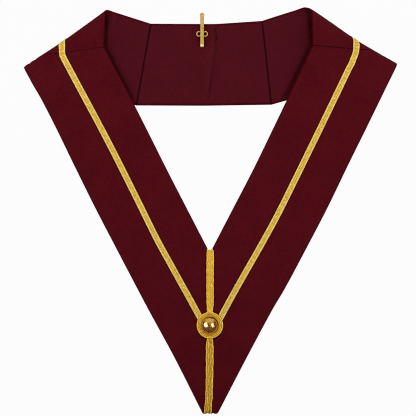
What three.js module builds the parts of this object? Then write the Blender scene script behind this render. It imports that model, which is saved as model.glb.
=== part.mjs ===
// A ceremonial neck collar of crimson cloth with gilt lace, a gilt button and a jewel hook.
// It lies on a table with the point of its V towards -Y. Millimetres, +Z up.
// Each front is a straight band. At its neck end the shoulder piece is sewn on at an angle,
// rolls over a slanting fold and runs back beneath to the collar's back piece, whose lining
// then faces up. Lengths and angles are those of the cloth laid open, before it is folded.
import * as THREE from 'three';

// Thickness of the layers, and the clearances between pieces
const SHELL = 1.6;
const LINING = 1.0;
const LACE = 0.9;
const BRAID = 1.6;
const SEAT = 0.3;
const SEAM = 0.3;

// The cloth
const BAND = 100;
const RIM = 1.2;
const LINING_INSET = 1.4;
const POINT_DROP = 1.976 * BAND;
const POINT_ROUND = 4;
const FALL = 222;
const BOW_REACH = 60;
const BACK_CREASE = 6.5;
const NECK_DIP = 2.4;
const HEM_DIP = 1.1;
const CREASE_RISE = 0.8;
const CREASE_SPREAD = 5;

// The two halves, which the maker folded a little differently. lean is the band's angle to the
// centre line, front the length of its neck edge from the V to the shoulder seam, seamRun and
// foldRun how much further along the outer edge the seam and the fold lie, slope the fold's
// angle, roll its radius, neck and neckLean the neck edge of the shoulder piece, and backSeam
// and backSeamSlope the seam to the back piece. The lace leaves its straight line laceSetback
// before the shoulder seam, turns laceRun beyond it, and crosses the fold after laceOver.
const LEFT = {
  name: 'left', sign: -1, lean: 27.3, front: 280.6, seamRun: 35, foldRun: 22.7, slope: 35,
  roll: 4.5, neck: 103.4, neckLean: -2.5, backSeam: 101.3, backSeamSlope: 10,
  laceSetback: -5, laceRun: 10.4, laceLean: 10, laceOver: 13,
};
const RIGHT = {
  name: 'right', sign: 1, lean: 26.4, front: 280.1, seamRun: 43, foldRun: 26.1, slope: 33.2,
  roll: 8, neck: 112.3, neckLean: -4, backSeam: 103.1, backSeamSlope: 17.3,
  laceSetback: 8.6, laceRun: 5.6, laceLean: 12.8, laceOver: 22.8,
};

// Edges of the bands and middle of the lace, in shares of the band's width from the neck
// edge's chord, at shares of the neck edge's length from the V
const BAND_EDGES = [
  { along: -0.62, leftOuter: 0.983, rightOuter: 0.962, leftInner: 0.006, rightInner: 0.006 },
  { along: -0.34, leftOuter: 0.975, rightOuter: 0.976, leftInner: 0.006, rightInner: 0.006 },
  { along: -0.10, leftOuter: 0.989, rightOuter: 0.997, leftInner: 0.006, rightInner: 0.006 },
  { along: 0.00, leftOuter: 0.992, rightOuter: 1.018, leftInner: 0.006, rightInner: 0.007 },
  { along: 0.20, leftOuter: 0.995, rightOuter: 1.035, leftInner: 0.006, rightInner: 0.016 },
  { along: 0.40, leftOuter: 0.996, rightOuter: 1.045, leftInner: 0.005, rightInner: 0.026 },
  { along: 0.60, leftOuter: 0.985, rightOuter: 1.036, leftInner: -0.002, rightInner: 0.021 },
  { along: 0.80, leftOuter: 0.970, rightOuter: 1.031, leftInner: -0.006, rightInner: 0.012 },
  { along: 0.93, leftOuter: 0.969, rightOuter: 1.027, leftInner: -0.001, rightInner: 0.004 },
  { along: 1.00, leftOuter: 0.979, rightOuter: 1.025, leftInner: 0, rightInner: 0 },
  { along: 1.25, leftOuter: 0.984, rightOuter: 1.026, leftInner: 0, rightInner: 0 },
];
const LACE_LINE = [
  { along: -0.30, left: 0.470, right: 0.467 },
  { along: -0.16, left: 0.479, right: 0.479 },
  { along: -0.03, left: 0.487, right: 0.497 },
  { along: 0.08, left: 0.503, right: 0.514 },
  { along: 0.24, left: 0.498, right: 0.537 },
  { along: 0.62, left: 0.484, right: 0.534 },
  { along: 1.00, left: 0.496, right: 0.518 },
];
// How far the fold line bows in towards the collar, in shares of its roll's radius, at shares
// of the fold's length from the outer corner
const FOLD_BOW = [
  { along: -0.1, left: -0.2, right: 0 },
  { along: 0, left: -0.2, right: 0 },
  { along: 0.25, left: 0.03, right: 0.25 },
  { along: 0.47, left: 0.2, right: 0.38 },
  { along: 0.75, left: 0.13, right: 0.25 },
  { along: 0.95, left: 0.03, right: 0.2 },
  { along: 1.01, left: -0.05, right: 0.33 },
  { along: 1.1, left: -0.1, right: 0.46 },
  { along: 1.4, left: -0.1, right: 0.46 },
];

// Lace, braid, rosette and button
const LACE_WIDTH = 7.5;
const BRAID_WIDTH = 9;
const BRAID_CORDS = 4;
const BRAID_OVERLAP = 2.4;
const BRAID_END = 1;
const ROSETTE_DROP = 0.893 * BAND;
const ROSETTE_RADIUS = 16.3;
const ROSETTE_CORDS = 4;
const BUTTON_RADIUS = 10.4;
const BUTTON_HEIGHT = 7.6;
const BUTTON_SKIRT = 1.4;

// Middle and width of the braids in shares of the braid's width, from the rosette outwards
const BRAID_UP = [
  { along: 0, middle: 0, width: 0.76 },
  { along: 0.16, middle: 0.03, width: 0.98 },
  { along: 0.5, middle: 0.02, width: 1 },
  { along: 0.93, middle: 0.05, width: 1 },
  { along: 0.97, middle: 0.05, width: 0.95 },
  { along: 1, middle: -0.03, width: 0.78 },
];
const BRAID_DOWN = [
  { along: 0, middle: -0.01, width: 0.76 },
  { along: 0.12, middle: -0.02, width: 1 },
  { along: 0.45, middle: -0.04, width: 1 },
  { along: 0.75, middle: -0.11, width: 0.97 },
  { along: 0.9, middle: -0.22, width: 0.97 },
  { along: 1, middle: -0.32, width: 1.08 },
];

// The jewel hook of bent wire, sewn to the lining below the neck edge
const WIRE = 1.8;
const WIRE_GAP = 0.3;
const HOOK_X = -9;
const HOOK_BELOW_NECK = 12.4;
const EYE_OUT = 4.2;
const EYE_RADIUS = 2.7;
const HOOK_DOWN = 15.6;
const HOOK_UP = 24.3;
const HOOK_DEPTH = 3.5;
const HOOK_SLOT = 0.55;
// Degrees round each eye and round half the hairpin, at the wire's points
const EYE_TURNS = [35, 80, 125, 170, 215, 260, 300];
const HAIRPIN_TURNS = [180, 135];

// Fineness of the meshes
const ROW_STEP = 17;
const LACE_STEP = 14;
const ROLL_STEPS = 8;
const FRONT_COLUMNS = 7;
const SHOULDER_COLUMNS = 7;
const LACE_POINTS = 10;
const DOME_STEPS = 8;
const CAP_CUT = 0.8;

const CLOTH = { color: 0x4f0d16, roughness: 0.9, metalness: 0 };
const LINING_CLOTH = { color: 0x4b1019, roughness: 0.8, metalness: 0 };
const GILT_LACE = { color: 0xd7ac45, roughness: 0.5, metalness: 0.6 };
const GILT_CORD = { color: 0xc99a32, roughness: 0.45, metalness: 0.6 };
const GILT_METAL = { color: 0xe0b04c, roughness: 0.15, metalness: 1 };

// The cloth sheet's inner face is its reference. The back lies over its lace, and the fronts
// come to rest on their own undersides.
const FRONT_UNDER = SEAT + LINING;
const LACE_UNDER = SHELL + SEAT;
const LACE_OVER = LACE_UNDER + LACE;
const LOW_LEVEL = LACE_OVER;
const REST_LEVEL = FRONT_UNDER;

const radians = THREE.MathUtils.degToRad;
const mix = THREE.MathUtils.lerp;
const point = (x, y) => new THREE.Vector2(x, y);
const toward = (a, b, share) => a.clone().lerp(b, share);

// Smooth value of one column of a table at a share of the length, through its rows
function follow(table, column, along) {
  const last = table.length - 1;
  let i = table.findIndex((row) => row.along > along) - 1;
  if (i < 0) i = along < table[0].along ? 0 : last - 1;
  const [a, b] = [table[i], table[i + 1]];
  const before = table[Math.max(i - 1, 0)];
  const after = table[Math.min(i + 2, last)];
  const span = b.along - a.along;
  const t = THREE.MathUtils.clamp((along - a.along) / span, 0, 1);
  const startSlope = (b[column] - before[column]) / (b.along - before.along) * span;
  const endSlope = (after[column] - a[column]) / (after.along - a.along) * span;
  const rest = b[column] - a[column];
  return a[column] + t * (startSlope + t * (3 * rest - 2 * startSlope - endSlope
    + t * (startSlope + endSlope - 2 * rest)));
}

// Point of the opened cloth at a distance along the band from the V and across it from the
// neck edge. x is measured outwards from the centre line, on both sides.
function bandPoint(side, along, across) {
  const lean = radians(side.lean);
  return point(
    along * Math.sin(lean) + across * Math.cos(lean),
    along * Math.cos(lean) - across * Math.sin(lean),
  );
}
const outerEdge = (side, along) => (
  bandPoint(side, along, BAND * follow(BAND_EDGES, `${side.name}Outer`, along / side.front)));
const innerEdge = (side, along) => (
  bandPoint(side, along, BAND * follow(BAND_EDGES, `${side.name}Inner`, along / side.front)));
const laceLine = (side, along, offset = 0) => bandPoint(side, along,
  BAND * follow(LACE_LINE, side.name, along / side.front) + offset);

// The fold: its origin on the outer edge, its direction towards the neck, and the direction
// from it into the collar. The outer face of the roll touches the line that foldRun gives.
function foldOf(side) {
  const slope = radians(side.slope);
  const along = point(-Math.cos(slope), Math.sin(slope));
  const inward = point(-Math.sin(slope), -Math.cos(slope));
  const corner = outerEdge(side, side.front + side.foldRun);
  return { origin: corner.addScaledVector(inward, SHELL), along, inward };
}

// Cloth that a half turn of the roll uses up beyond its radius
const slack = (side) => (Math.PI / 2 - 1) * side.roll;

// Place of a point of the opened cloth along the fold (x) and across it (y). y is positive on
// the upper layer, nought at the edge of the roll and negative on the lower layer.
function toSheet(side, flat) {
  const away = flat.clone().sub(side.fold.origin);
  return point(away.dot(side.fold.along), away.dot(side.fold.inward) + slack(side));
}

// Folded place of a sheet point at a height off the sheet's inner face. The lower layer lies
// flat, a half circle rolls it over, and the upper layer falls to rest in a half cosine.
function wrap(side, sheet, height) {
  const { roll, fold, sign } = side;
  const quarter = Math.PI / 2 * roll;
  const turn = THREE.MathUtils.clamp(sheet.y / roll, -Math.PI / 2, Math.PI / 2);
  const flat = Math.abs(sheet.y) - Math.abs(turn) * roll;
  let depth = roll * (1 - Math.cos(turn)) + flat;
  let level = LOW_LEVEL + roll * (1 + Math.sin(turn));
  let out = point(-Math.cos(turn), Math.sin(turn));
  if (sheet.y > quarter) {
    const drop = LOW_LEVEL + 2 * roll - REST_LEVEL;
    const phase = Math.PI * Math.min(flat / FALL, 1);
    level -= drop * (1 - Math.cos(phase)) / 2;
    out = point(drop * Math.PI / 2 / FALL * Math.sin(phase), 1).normalize();
  }
  const reach = THREE.MathUtils.clamp(1 - depth / BOW_REACH, 0, 1);
  const bow = roll * follow(FOLD_BOW, side.name, sheet.x / side.foldLength);
  depth += bow * reach * reach + out.x * height;
  const plan = fold.origin.clone()
    .addScaledVector(fold.along, sheet.x).addScaledVector(fold.inward, depth);
  return new THREE.Vector3(sign * plan.x, plan.y, level + out.y * height);
}

// Corners of the opened shoulder piece: neck and outer ends of the front seam and back seam
function completeSide(side) {
  side.fold = foldOf(side);
  side.neckCorner = innerEdge(side, side.front);
  side.outerCorner = outerEdge(side, side.front + side.seamRun);
  const neckLean = radians(side.neckLean);
  const seamSlope = radians(side.backSeamSlope);
  side.backNeck = side.neckCorner.clone()
    .add(point(Math.sin(neckLean), Math.cos(neckLean)).multiplyScalar(side.neck));
  side.backHem = side.backNeck.clone()
    .add(point(Math.cos(seamSlope), Math.sin(seamSlope)).multiplyScalar(side.backSeam));
  side.foldLength = toSheet(side, side.neckCorner).lerp(toSheet(side, side.backNeck), 0.45).x;
}
[LEFT, RIGHT].forEach(completeSide);

const material = (finish) => new THREE.MeshStandardMaterial(finish);

// Signed volume of a closed triangle mesh, positive where its faces point out
function signedVolume(corners, faces) {
  return faces.reduce((sum, [a, b, c]) => (
    sum + corners[a].clone().cross(corners[b]).dot(corners[c]) / 6), 0);
}

// Closed geometry from corners and triangles, with its faces turned outwards
function closedGeometry(corners, faces) {
  const outward = signedVolume(corners, faces) > 0;
  const geometry = new THREE.BufferGeometry().setFromPoints(corners);
  geometry.setIndex(faces.flatMap(([a, b, c]) => (outward ? [a, b, c] : [a, c, b])));
  geometry.computeVertexNormals();
  return geometry;
}

// Two triangles of a four-cornered face, cut along its shorter diagonal
function quad(corners, a, b, c, d) {
  const short = corners[a].distanceTo(corners[c]) <= corners[b].distanceTo(corners[d]);
  return short ? [[a, b, c], [a, c, d]] : [[b, c, d], [b, d, a]];
}

// Closed slab over a grid of sheet points. under and over give the heights of its two faces
// for a column and a row, and place turns a sheet point and a height into space.
function slab(rows, place, under, over) {
  const columns = rows[0].length;
  const count = rows.length * columns;
  const face = (height) => rows.flatMap((row, i) => (
    row.map((sheet, j) => place(sheet, height(j, columns - 1, i)))));
  const corners = [...face(over), ...face(under)];
  const faces = [];
  const add = (a, b, c, d) => faces.push(...quad(corners, a, b, c, d));
  for (let i = 0; i < rows.length - 1; i += 1) {
    for (let j = 0; j < columns - 1; j += 1) {
      const a = i * columns + j;
      const b = a + columns;
      add(a, b, b + 1, a + 1);
      add(count + a, count + a + 1, count + b + 1, count + b);
    }
    const first = i * columns;
    const next = first + columns;
    const end = next - 1;
    add(first, count + first, count + next, next);
    add(end, end + columns, count + end + columns, count + end);
  }
  for (let j = 0; j < columns - 1; j += 1) {
    const last = (rows.length - 1) * columns + j;
    add(j, j + 1, count + j + 1, count + j);
    add(last, count + last, count + last + 1, last + 1);
  }
  return closedGeometry(corners, faces);
}

// Heights of a cloth's faces, drawn together at its long edges
const rimmed = (height, middle) => (j, last) => (
  j === 0 || j === last ? mix(middle, height, 0.4) : height);
const cloth = (rows, place, low, high) => slab(rows, place,
  rimmed(low, (low + high) / 2), rimmed(high, (low + high) / 2));

// Shares across a width: both rims, and even steps between them
function columnShares(width, columns) {
  const rim = Math.min(RIM / width, 0.2);
  const inner = Array.from({ length: columns }, (_, j) => mix(rim, 1 - rim, j / (columns - 1)));
  return [0, ...inner, 1];
}

// Where a chain of points with falling y crosses a height
function crossing(chain, y) {
  const i = Math.max(chain.findIndex((p) => p.y <= y), 1);
  const [a, b] = [chain[i - 1], chain[i]];
  return mix(a.x, b.x, THREE.MathUtils.clamp((a.y - y) / (a.y - b.y || 1), 0, 1));
}

// Falling heights on a sheet from top to bottom: at the given corners, close together over the
// roll, and no further apart than a step elsewhere
function sheetLevels(side, top, bottom, corners, step) {
  const quarter = Math.PI / 2 * side.roll;
  const roll = Array.from({ length: ROLL_STEPS + 1 }, (_, i) => (
    mix(quarter, -quarter, i / ROLL_STEPS)));
  const wanted = [...roll, ...corners.filter((y) => Math.abs(y) > quarter + RIM)]
    .filter((y) => y < top - RIM && y > bottom + RIM).sort((a, b) => b - a);
  const kept = [top];
  wanted.forEach((y) => {
    if (kept[kept.length - 1] - y >= RIM) kept.push(y);
  });
  kept.push(bottom);
  return [top, ...kept.slice(1).flatMap((y, i) => {
    const steps = Math.max(Math.ceil((kept[i] - y) / step), 1);
    return Array.from({ length: steps }, (_, k) => mix(kept[i], y, (k + 1) / steps));
  })];
}

// Rows of sheet points parallel to the fold, between two chains that share both their ends
function rowsBetween(side, chainA, chainB, columns) {
  const top = chainA[0].y - CAP_CUT;
  const bottom = chainA[chainA.length - 1].y + CAP_CUT;
  const corners = [...chainA, ...chainB].map((p) => p.y);
  return sheetLevels(side, top, bottom, corners, ROW_STEP).map((y) => {
    const [a, b] = [crossing(chainA, y), crossing(chainB, y)];
    return columnShares(Math.abs(b - a), columns).map((share) => point(mix(a, b, share), y));
  });
}

// Points of the rounded corner at b, between the legs to a and to c
function rounded(a, b, c, radius, steps) {
  const [legA, legC] = [a.clone().sub(b).normalize(), c.clone().sub(b).normalize()];
  const half = Math.acos(legA.dot(legC)) / 2;
  const middle = legA.clone().add(legC).normalize();
  const centre = b.clone().addScaledVector(middle, radius / Math.sin(half));
  const start = b.clone().addScaledVector(legA, radius / Math.tan(half)).sub(centre);
  const end = b.clone().addScaledVector(legC, radius / Math.tan(half)).sub(centre);
  return Array.from({ length: steps + 1 }, (_, i) => (
    toward(start, end, i / steps).setLength(radius).add(centre)));
}

// A band of cloth from the point of the V to the shoulder seam, mitred on the centre line
function frontPanel(side) {
  const lean = radians(side.lean);
  const seamLine = SEAM / 2;
  const vStart = (seamLine / Math.sin(lean)
    - BAND * BAND_EDGES[0][`${side.name}Inner`] / Math.tan(lean));
  const steps = Math.round((side.front - vStart) / (2 * ROW_STEP));
  const neckEdge = Array.from({ length: steps + 1 }, (_, i) => (
    innerEdge(side, mix(vStart, side.front - SEAM / 2, i / steps))));
  neckEdge[0].x = seamLine;
  const pointAlong = (BAND * BAND_EDGES[0][`${side.name}Outer`] * Math.sin(lean) - POINT_DROP)
    / Math.cos(lean);
  const corner = outerEdge(side, pointAlong);
  const outerEnd = side.front + side.seamRun - SEAM / 2;
  const outer = Array.from({ length: steps }, (_, i) => (
    outerEdge(side, mix(pointAlong, outerEnd, (i + 1) / steps))));
  const base = point(seamLine, -POINT_DROP);
  const tip = rounded(base, corner, outer[0], POINT_ROUND, 3);
  const inSheet = (chain) => chain.map((p) => toSheet(side, p));
  const chainOuter = inSheet([base, ...tip, ...outer]);
  const chainInner = inSheet([base, ...neckEdge, outer[outer.length - 1]]);
  const rows = rowsBetween(side, chainOuter, chainInner, FRONT_COLUMNS);
  return cloth(rows, (sheet, height) => wrap(side, sheet, height), -FRONT_UNDER, SHELL);
}

// A four-cornered outline with each edge moved inwards by its own inset
function insetOutline(corners, insets) {
  const middle = corners.reduce((sum, p) => sum.add(p), point(0, 0)).divideScalar(4);
  const lines = corners.map((a, i) => {
    const direction = corners[(i + 1) % 4].clone().sub(a).normalize();
    const inward = point(-direction.y, direction.x);
    if (inward.dot(middle.clone().sub(a)) < 0) inward.negate();
    return { start: a.clone().addScaledVector(inward, insets[i]), direction };
  });
  return lines.map((line, i) => {
    const before = lines[(i + 3) % 4];
    const apart = line.start.clone().sub(before.start);
    const share = apart.cross(line.direction) / before.direction.cross(line.direction);
    return before.start.clone().addScaledVector(before.direction, share);
  });
}

// Rows of the shoulder piece, with its neck and outer edges moved in by an inset
function shoulderRows(side, inset) {
  const outline = insetOutline(
    [side.neckCorner, side.outerCorner, side.backHem, side.backNeck],
    [SEAM / 2, inset, SEAM / 2, inset],
  ).map((p) => toSheet(side, p));
  const [neckCorner, outerCorner, backHem, backNeck] = outline;
  return rowsBetween(side, [neckCorner, outerCorner, backHem],
    [neckCorner, backNeck, backHem], SHOULDER_COLUMNS);
}
const shoulderPanel = (side) => cloth(shoulderRows(side, 0),
  (sheet, height) => wrap(side, sheet, height), 0, SHELL);
const shoulderLining = (side) => cloth(shoulderRows(side, LINING_INSET),
  (sheet, height) => wrap(side, sheet, height), -SEAT - LINING, -SEAT);

// The back piece between the two back seams. A soft crease runs down its middle, where the
// neck edge and the hem dip a little.
function backCorner(side, corner) {
  const folded = wrap(side, toSheet(side, corner), 0);
  return point(folded.x, folded.y);
}
const BACK = {
  neckLeft: backCorner(LEFT, LEFT.backNeck),
  neckRight: backCorner(RIGHT, RIGHT.backNeck),
  hemLeft: backCorner(LEFT, LEFT.backHem),
  hemRight: backCorner(RIGHT, RIGHT.backHem),
};
const backShare = (x) => (
  (x - BACK.neckLeft.x) / (BACK.neckRight.x - BACK.neckLeft.x));
BACK.neckCrease = toward(BACK.neckLeft, BACK.neckRight, backShare(BACK_CREASE))
  .add(point(0, -NECK_DIP));
BACK.hemCrease = toward(BACK.hemLeft, BACK.hemRight, 0.5).add(point(0, -HEM_DIP));

// A point of the back: across runs from -1 at the left seam over 0 at the crease to 1 at the
// right seam, and down from 0 at the neck edge to 1 at the hem
function backPoint(across, down) {
  const [neckEnd, hemEnd] = across < 0
    ? [BACK.neckLeft, BACK.hemLeft] : [BACK.neckRight, BACK.hemRight];
  const share = Math.abs(across);
  return toward(
    toward(BACK.neckCrease, neckEnd, share), toward(BACK.hemCrease, hemEnd, share), down);
}

// Folded place of a point of the back, whose outer face looks down
function onBack(plan, height) {
  const crease = mix(BACK.neckCrease.x, BACK.hemCrease.x,
    (BACK.neckCrease.y - plan.y) / (BACK.neckCrease.y - BACK.hemCrease.y));
  const rise = CREASE_RISE * Math.exp(-(((plan.x - crease) / CREASE_SPREAD) ** 2));
  return new THREE.Vector3(plan.x, plan.y, LOW_LEVEL + rise - height);
}

// Places across the back from its left seam to its right seam, closer together at the crease
function backAcross() {
  const half = BACK.neckRight.x - BACK.neckCrease.x;
  const near = CREASE_SPREAD / half;
  const steps = [near, 2.2 * near, mix(near, 1, 0.4), mix(near, 1, 0.7), 1 - SEAM / 2 / half];
  return [...steps.map((s) => -s).reverse(), 0, ...steps];
}
const backLength = () => BACK.neckCrease.distanceTo(BACK.hemCrease);

// Rows of the back from seam to seam, with the neck edge and hem moved in by an inset
function backRows(inset) {
  const margin = inset / backLength();
  const shares = columnShares(backLength() - 2 * inset, 5);
  return backAcross().map((across) => (
    shares.map((share) => backPoint(across, mix(margin, 1 - margin, share)))));
}
const backPanel = () => cloth(backRows(0), onBack, 0, SHELL);
const backLining = () => cloth(backRows(LINING_INSET), onBack, -SEAT - LINING, -SEAT);

const LACE_COLUMNS = [-0.5, -0.36, 0.36, 0.5];
const LACE_SAMPLES = 80;
const laceHeights = [() => LACE_UNDER, (j, last) => (
  j === 0 || j === last ? LACE_OVER - LACE / 3 : LACE_OVER)];

// The lace of one side: up the middle of the front from the rosette, over the fold and along
// the shoulder piece to the back seam. Its first row follows the rosette's rim, its last the
// seam, and the rows between are parallel to the fold.
function sideLace(side) {
  const lean = radians(side.lean);
  const offsets = LACE_COLUMNS.map((c) => c * LACE_WIDTH);
  const reach = ROSETTE_RADIUS + SEAT;
  const rosetteAlong = -ROSETTE_DROP * Math.cos(lean);
  const rimAlong = (offset) => {
    const away = laceLine(side, rosetteAlong, offset).sub(point(0, -ROSETTE_DROP)).length();
    return rosetteAlong + Math.sqrt(Math.max(reach ** 2 - away ** 2, 0));
  };
  const firstRow = offsets.map((offset) => (
    toSheet(side, laceLine(side, rimAlong(offset), offset))));
  const laceLean = radians(side.laceLean);
  const turnPoint = laceLine(side, side.front + side.laceRun);
  const overFold = turnPoint.clone()
    .add(point(Math.sin(laceLean), Math.cos(laceLean)).multiplyScalar(side.laceOver));
  const seamMiddle = toward(side.backNeck, side.backHem, 0.5);
  const upFront = Array.from({ length: LACE_POINTS }, (_, i) => (
    laceLine(side, mix(rosetteAlong, side.front - side.laceSetback, i / (LACE_POINTS - 1)))));
  const path = new THREE.SplineCurve([...upFront, turnPoint, overFold,
    toward(overFold, seamMiddle, 0.5), seamMiddle]);
  const chains = offsets.map((offset) => path.getSpacedPoints(LACE_SAMPLES).map((centre, i) => {
    const tangent = path.getTangentAt(i / LACE_SAMPLES);
    return toSheet(side, centre.clone().add(point(tangent.y, -tangent.x).multiplyScalar(offset)));
  }));
  const seamWay = side.backHem.clone().sub(side.backNeck).normalize();
  const seamSetback = overFold.clone().sub(seamMiddle).setLength(SEAM / 2);
  const lastRow = offsets.map((offset) => (
    toSheet(side, seamMiddle.clone().add(seamSetback).addScaledVector(seamWay, offset))));
  const top = Math.min(...firstRow.map((p) => p.y)) - RIM;
  const bottom = Math.max(...lastRow.map((p) => p.y)) + RIM;
  const bend = [-2, -1, 0, 1].map((k) => toSheet(side, turnPoint).y + k * side.laceRun / 2);
  const rows = sheetLevels(side, top, bottom, bend, LACE_STEP).map((y) => (
    chains.map((chain) => point(crossing(chain, y), y))));
  return slab([firstRow, ...rows, lastRow], (sheet, height) => wrap(side, sheet, height),
    ...laceHeights);
}

// The lace on the outer face of the back, from seam to seam
function backLace() {
  const rows = backAcross().map((across) => (
    LACE_COLUMNS.map((c) => backPoint(across, 0.5 + c * LACE_WIDTH / backLength()))));
  return slab(rows, onBack, ...laceHeights);
}

// Flat-lying braid of thin cords on the centre line between two distances below the V.
// A ridge of its section is a cord.
function braid(table, from, to) {
  const bottom = REST_LEVEL + SHELL + SEAT;
  const columns = 2 * BRAID_CORDS + 1;
  const rows = table.flatMap((row, i) => {
    const next = table[i + 1];
    return next ? [row.along, (row.along + next.along) / 2] : [row.along];
  }).map((along) => {
    const middle = BRAID_WIDTH * follow(table, 'middle', along);
    const width = BRAID_WIDTH * follow(table, 'width', along);
    return Array.from({ length: columns }, (_, j) => (
      point(middle + width * (j / (columns - 1) - 0.5), -mix(from, to, along))));
  });
  return slab(rows, (plan, height) => new THREE.Vector3(plan.x, plan.y, bottom + height),
    () => 0, (j) => (j % 2 ? BRAID : BRAID / 2));
}

// The rosette: cords wound side by side in rings round the button, rising to the inside
function rosette() {
  const inner = BUTTON_RADIUS + SEAT;
  const cord = (ROSETTE_RADIUS - inner) / ROSETTE_CORDS;
  const profile = [point(inner, 0), point(ROSETTE_RADIUS, 0)];
  for (let ring = 0; ring < ROSETTE_CORDS; ring += 1) {
    const out = ROSETTE_RADIUS - ring * cord;
    const height = BRAID + Math.min(ring, 2) * cord / 2;
    profile.push(point(out, height * 0.6), point(out - cord / 4, height),
      point(out - 3 * cord / 4, height));
  }
  profile.push(point(inner, BRAID), point(inner, 0));
  return latheOnFront(profile, 30);
}

// The button: a domed gilt shell over a short straight skirt
function button() {
  const rise = BUTTON_HEIGHT - BUTTON_SKIRT;
  const dome = Array.from({ length: DOME_STEPS }, (_, i) => {
    const turn = Math.PI / 2 * i / DOME_STEPS;
    return point(BUTTON_RADIUS * Math.cos(turn), BUTTON_SKIRT + rise * Math.sin(turn));
  });
  return latheOnFront([point(0, 0), point(BUTTON_RADIUS - RIM / 2, 0),
    point(BUTTON_RADIUS, RIM / 2), ...dome, point(0, BUTTON_HEIGHT)], 28);
}

// A turned piece with its axis along +Z, seated on the fronts at the rosette's centre
function latheOnFront(profile, sides) {
  const geometry = new THREE.LatheGeometry(profile, sides);
  geometry.rotateX(Math.PI / 2);
  geometry.translate(0, -ROSETTE_DROP, REST_LEVEL + SHELL + SEAT);
  return geometry;
}

// The hook's wire: from one sewing eye down the back, round the bend, up the doubled bill to
// the hairpin at its end, and the same way back to the other eye
function jewelHook() {
  const seat = LOW_LEVEL + SEAT + LINING + SEAT + WIRE / 2;
  const half = (WIRE + WIRE_GAP) / 2;
  const neckY = backPoint(
    (HOOK_X - BACK.neckCrease.x) / (BACK.neckCrease.x - BACK.neckLeft.x), 0).y;
  const centre = new THREE.Vector3(HOOK_X, neckY - HOOK_BELOW_NECK, seat);
  const eye = EYE_TURNS.map(radians).map((turn) => new THREE.Vector3(
    -EYE_OUT + EYE_RADIUS * Math.cos(turn), EYE_RADIUS * Math.sin(turn), 0));
  const bend = HOOK_DEPTH / 2;
  const down = -HOOK_DOWN + bend;
  const halfWay = [...eye,
    new THREE.Vector3(-half, -EYE_RADIUS - WIRE, 0),
    new THREE.Vector3(-half, down * 0.7, 0),
    new THREE.Vector3(-half, down, 0),
    new THREE.Vector3(-half, down - bend * 0.7, bend * 0.3),
    new THREE.Vector3(-half, down - bend, bend),
    new THREE.Vector3(-half, down - bend * 0.7, bend * 1.7),
    new THREE.Vector3(-half, down, HOOK_DEPTH),
    new THREE.Vector3(-half, 0, HOOK_DEPTH),
    new THREE.Vector3(-half, HOOK_UP * 0.72, HOOK_DEPTH),
    ...HAIRPIN_TURNS.map(radians).map((turn) => new THREE.Vector3(
      (half + HOOK_SLOT) * Math.cos(turn),
      HOOK_UP + (half + HOOK_SLOT) * (Math.sin(turn) - 1), HOOK_DEPTH)),
  ];
  const end = new THREE.Vector3(0, HOOK_UP, HOOK_DEPTH);
  const back = halfWay.map((p) => new THREE.Vector3(-p.x, p.y, p.z)).reverse();
  const path = new THREE.CatmullRomCurve3(
    [...halfWay, end, ...back].map((p) => p.add(centre)), false, 'centripetal');
  const section = new THREE.Shape(Array.from({ length: 6 }, (_, i) => (
    point(WIRE / 2 * Math.cos(i * Math.PI / 3), WIRE / 2 * Math.sin(i * Math.PI / 3)))));
  return new THREE.ExtrudeGeometry(section, { steps: 90, extrudePath: path });
}

const collar = new THREE.Group();
function addPiece(name, geometry, finish) {
  const mesh = new THREE.Mesh(geometry, material(finish));
  mesh.name = name;
  collar.add(mesh);
}

[LEFT, RIGHT].forEach((side) => {
  addPiece(`front_panel_${side.name}`, frontPanel(side), CLOTH);
  addPiece(`shoulder_panel_${side.name}`, shoulderPanel(side), CLOTH);
  addPiece(`shoulder_lining_${side.name}`, shoulderLining(side), LINING_CLOTH);
  addPiece(`side_lace_${side.name}`, sideLace(side), GILT_LACE);
});
addPiece('back_panel', backPanel(), CLOTH);
addPiece('back_lining', backLining(), LINING_CLOTH);
addPiece('back_lace', backLace(), GILT_LACE);
const rosetteRim = ROSETTE_RADIUS + SEAT;
addPiece('braid_upper', braid(BRAID_UP, ROSETTE_DROP - rosetteRim, -BRAID_OVERLAP), GILT_CORD);
addPiece('braid_lower', braid(BRAID_DOWN, ROSETTE_DROP + rosetteRim, POINT_DROP - BRAID_END),
  GILT_CORD);
addPiece('rosette', rosette(), GILT_CORD);
addPiece('button', button(), GILT_METAL);
addPiece('jewel_hook', jewelHook(), GILT_METAL);

// The origin goes to the middle of the base, and the undersides come to the table
const bounds = new THREE.Box3().setFromObject(collar);
const middle = bounds.getCenter(new THREE.Vector3());
collar.position.set(-middle.x, -middle.y, -bounds.min.z);
collar.updateMatrixWorld(true);

export default collar;
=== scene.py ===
"""A ceremonial neck collar of crimson cloth with gilt lace, lying flat and seen from straight above.

The cloth is worked out as it is cut, opened flat, and then folded over each shoulder. Lengths are
millimetres from the V of the neck, x outwards on both sides, until a piece becomes a mesh in metres.
"""

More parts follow.
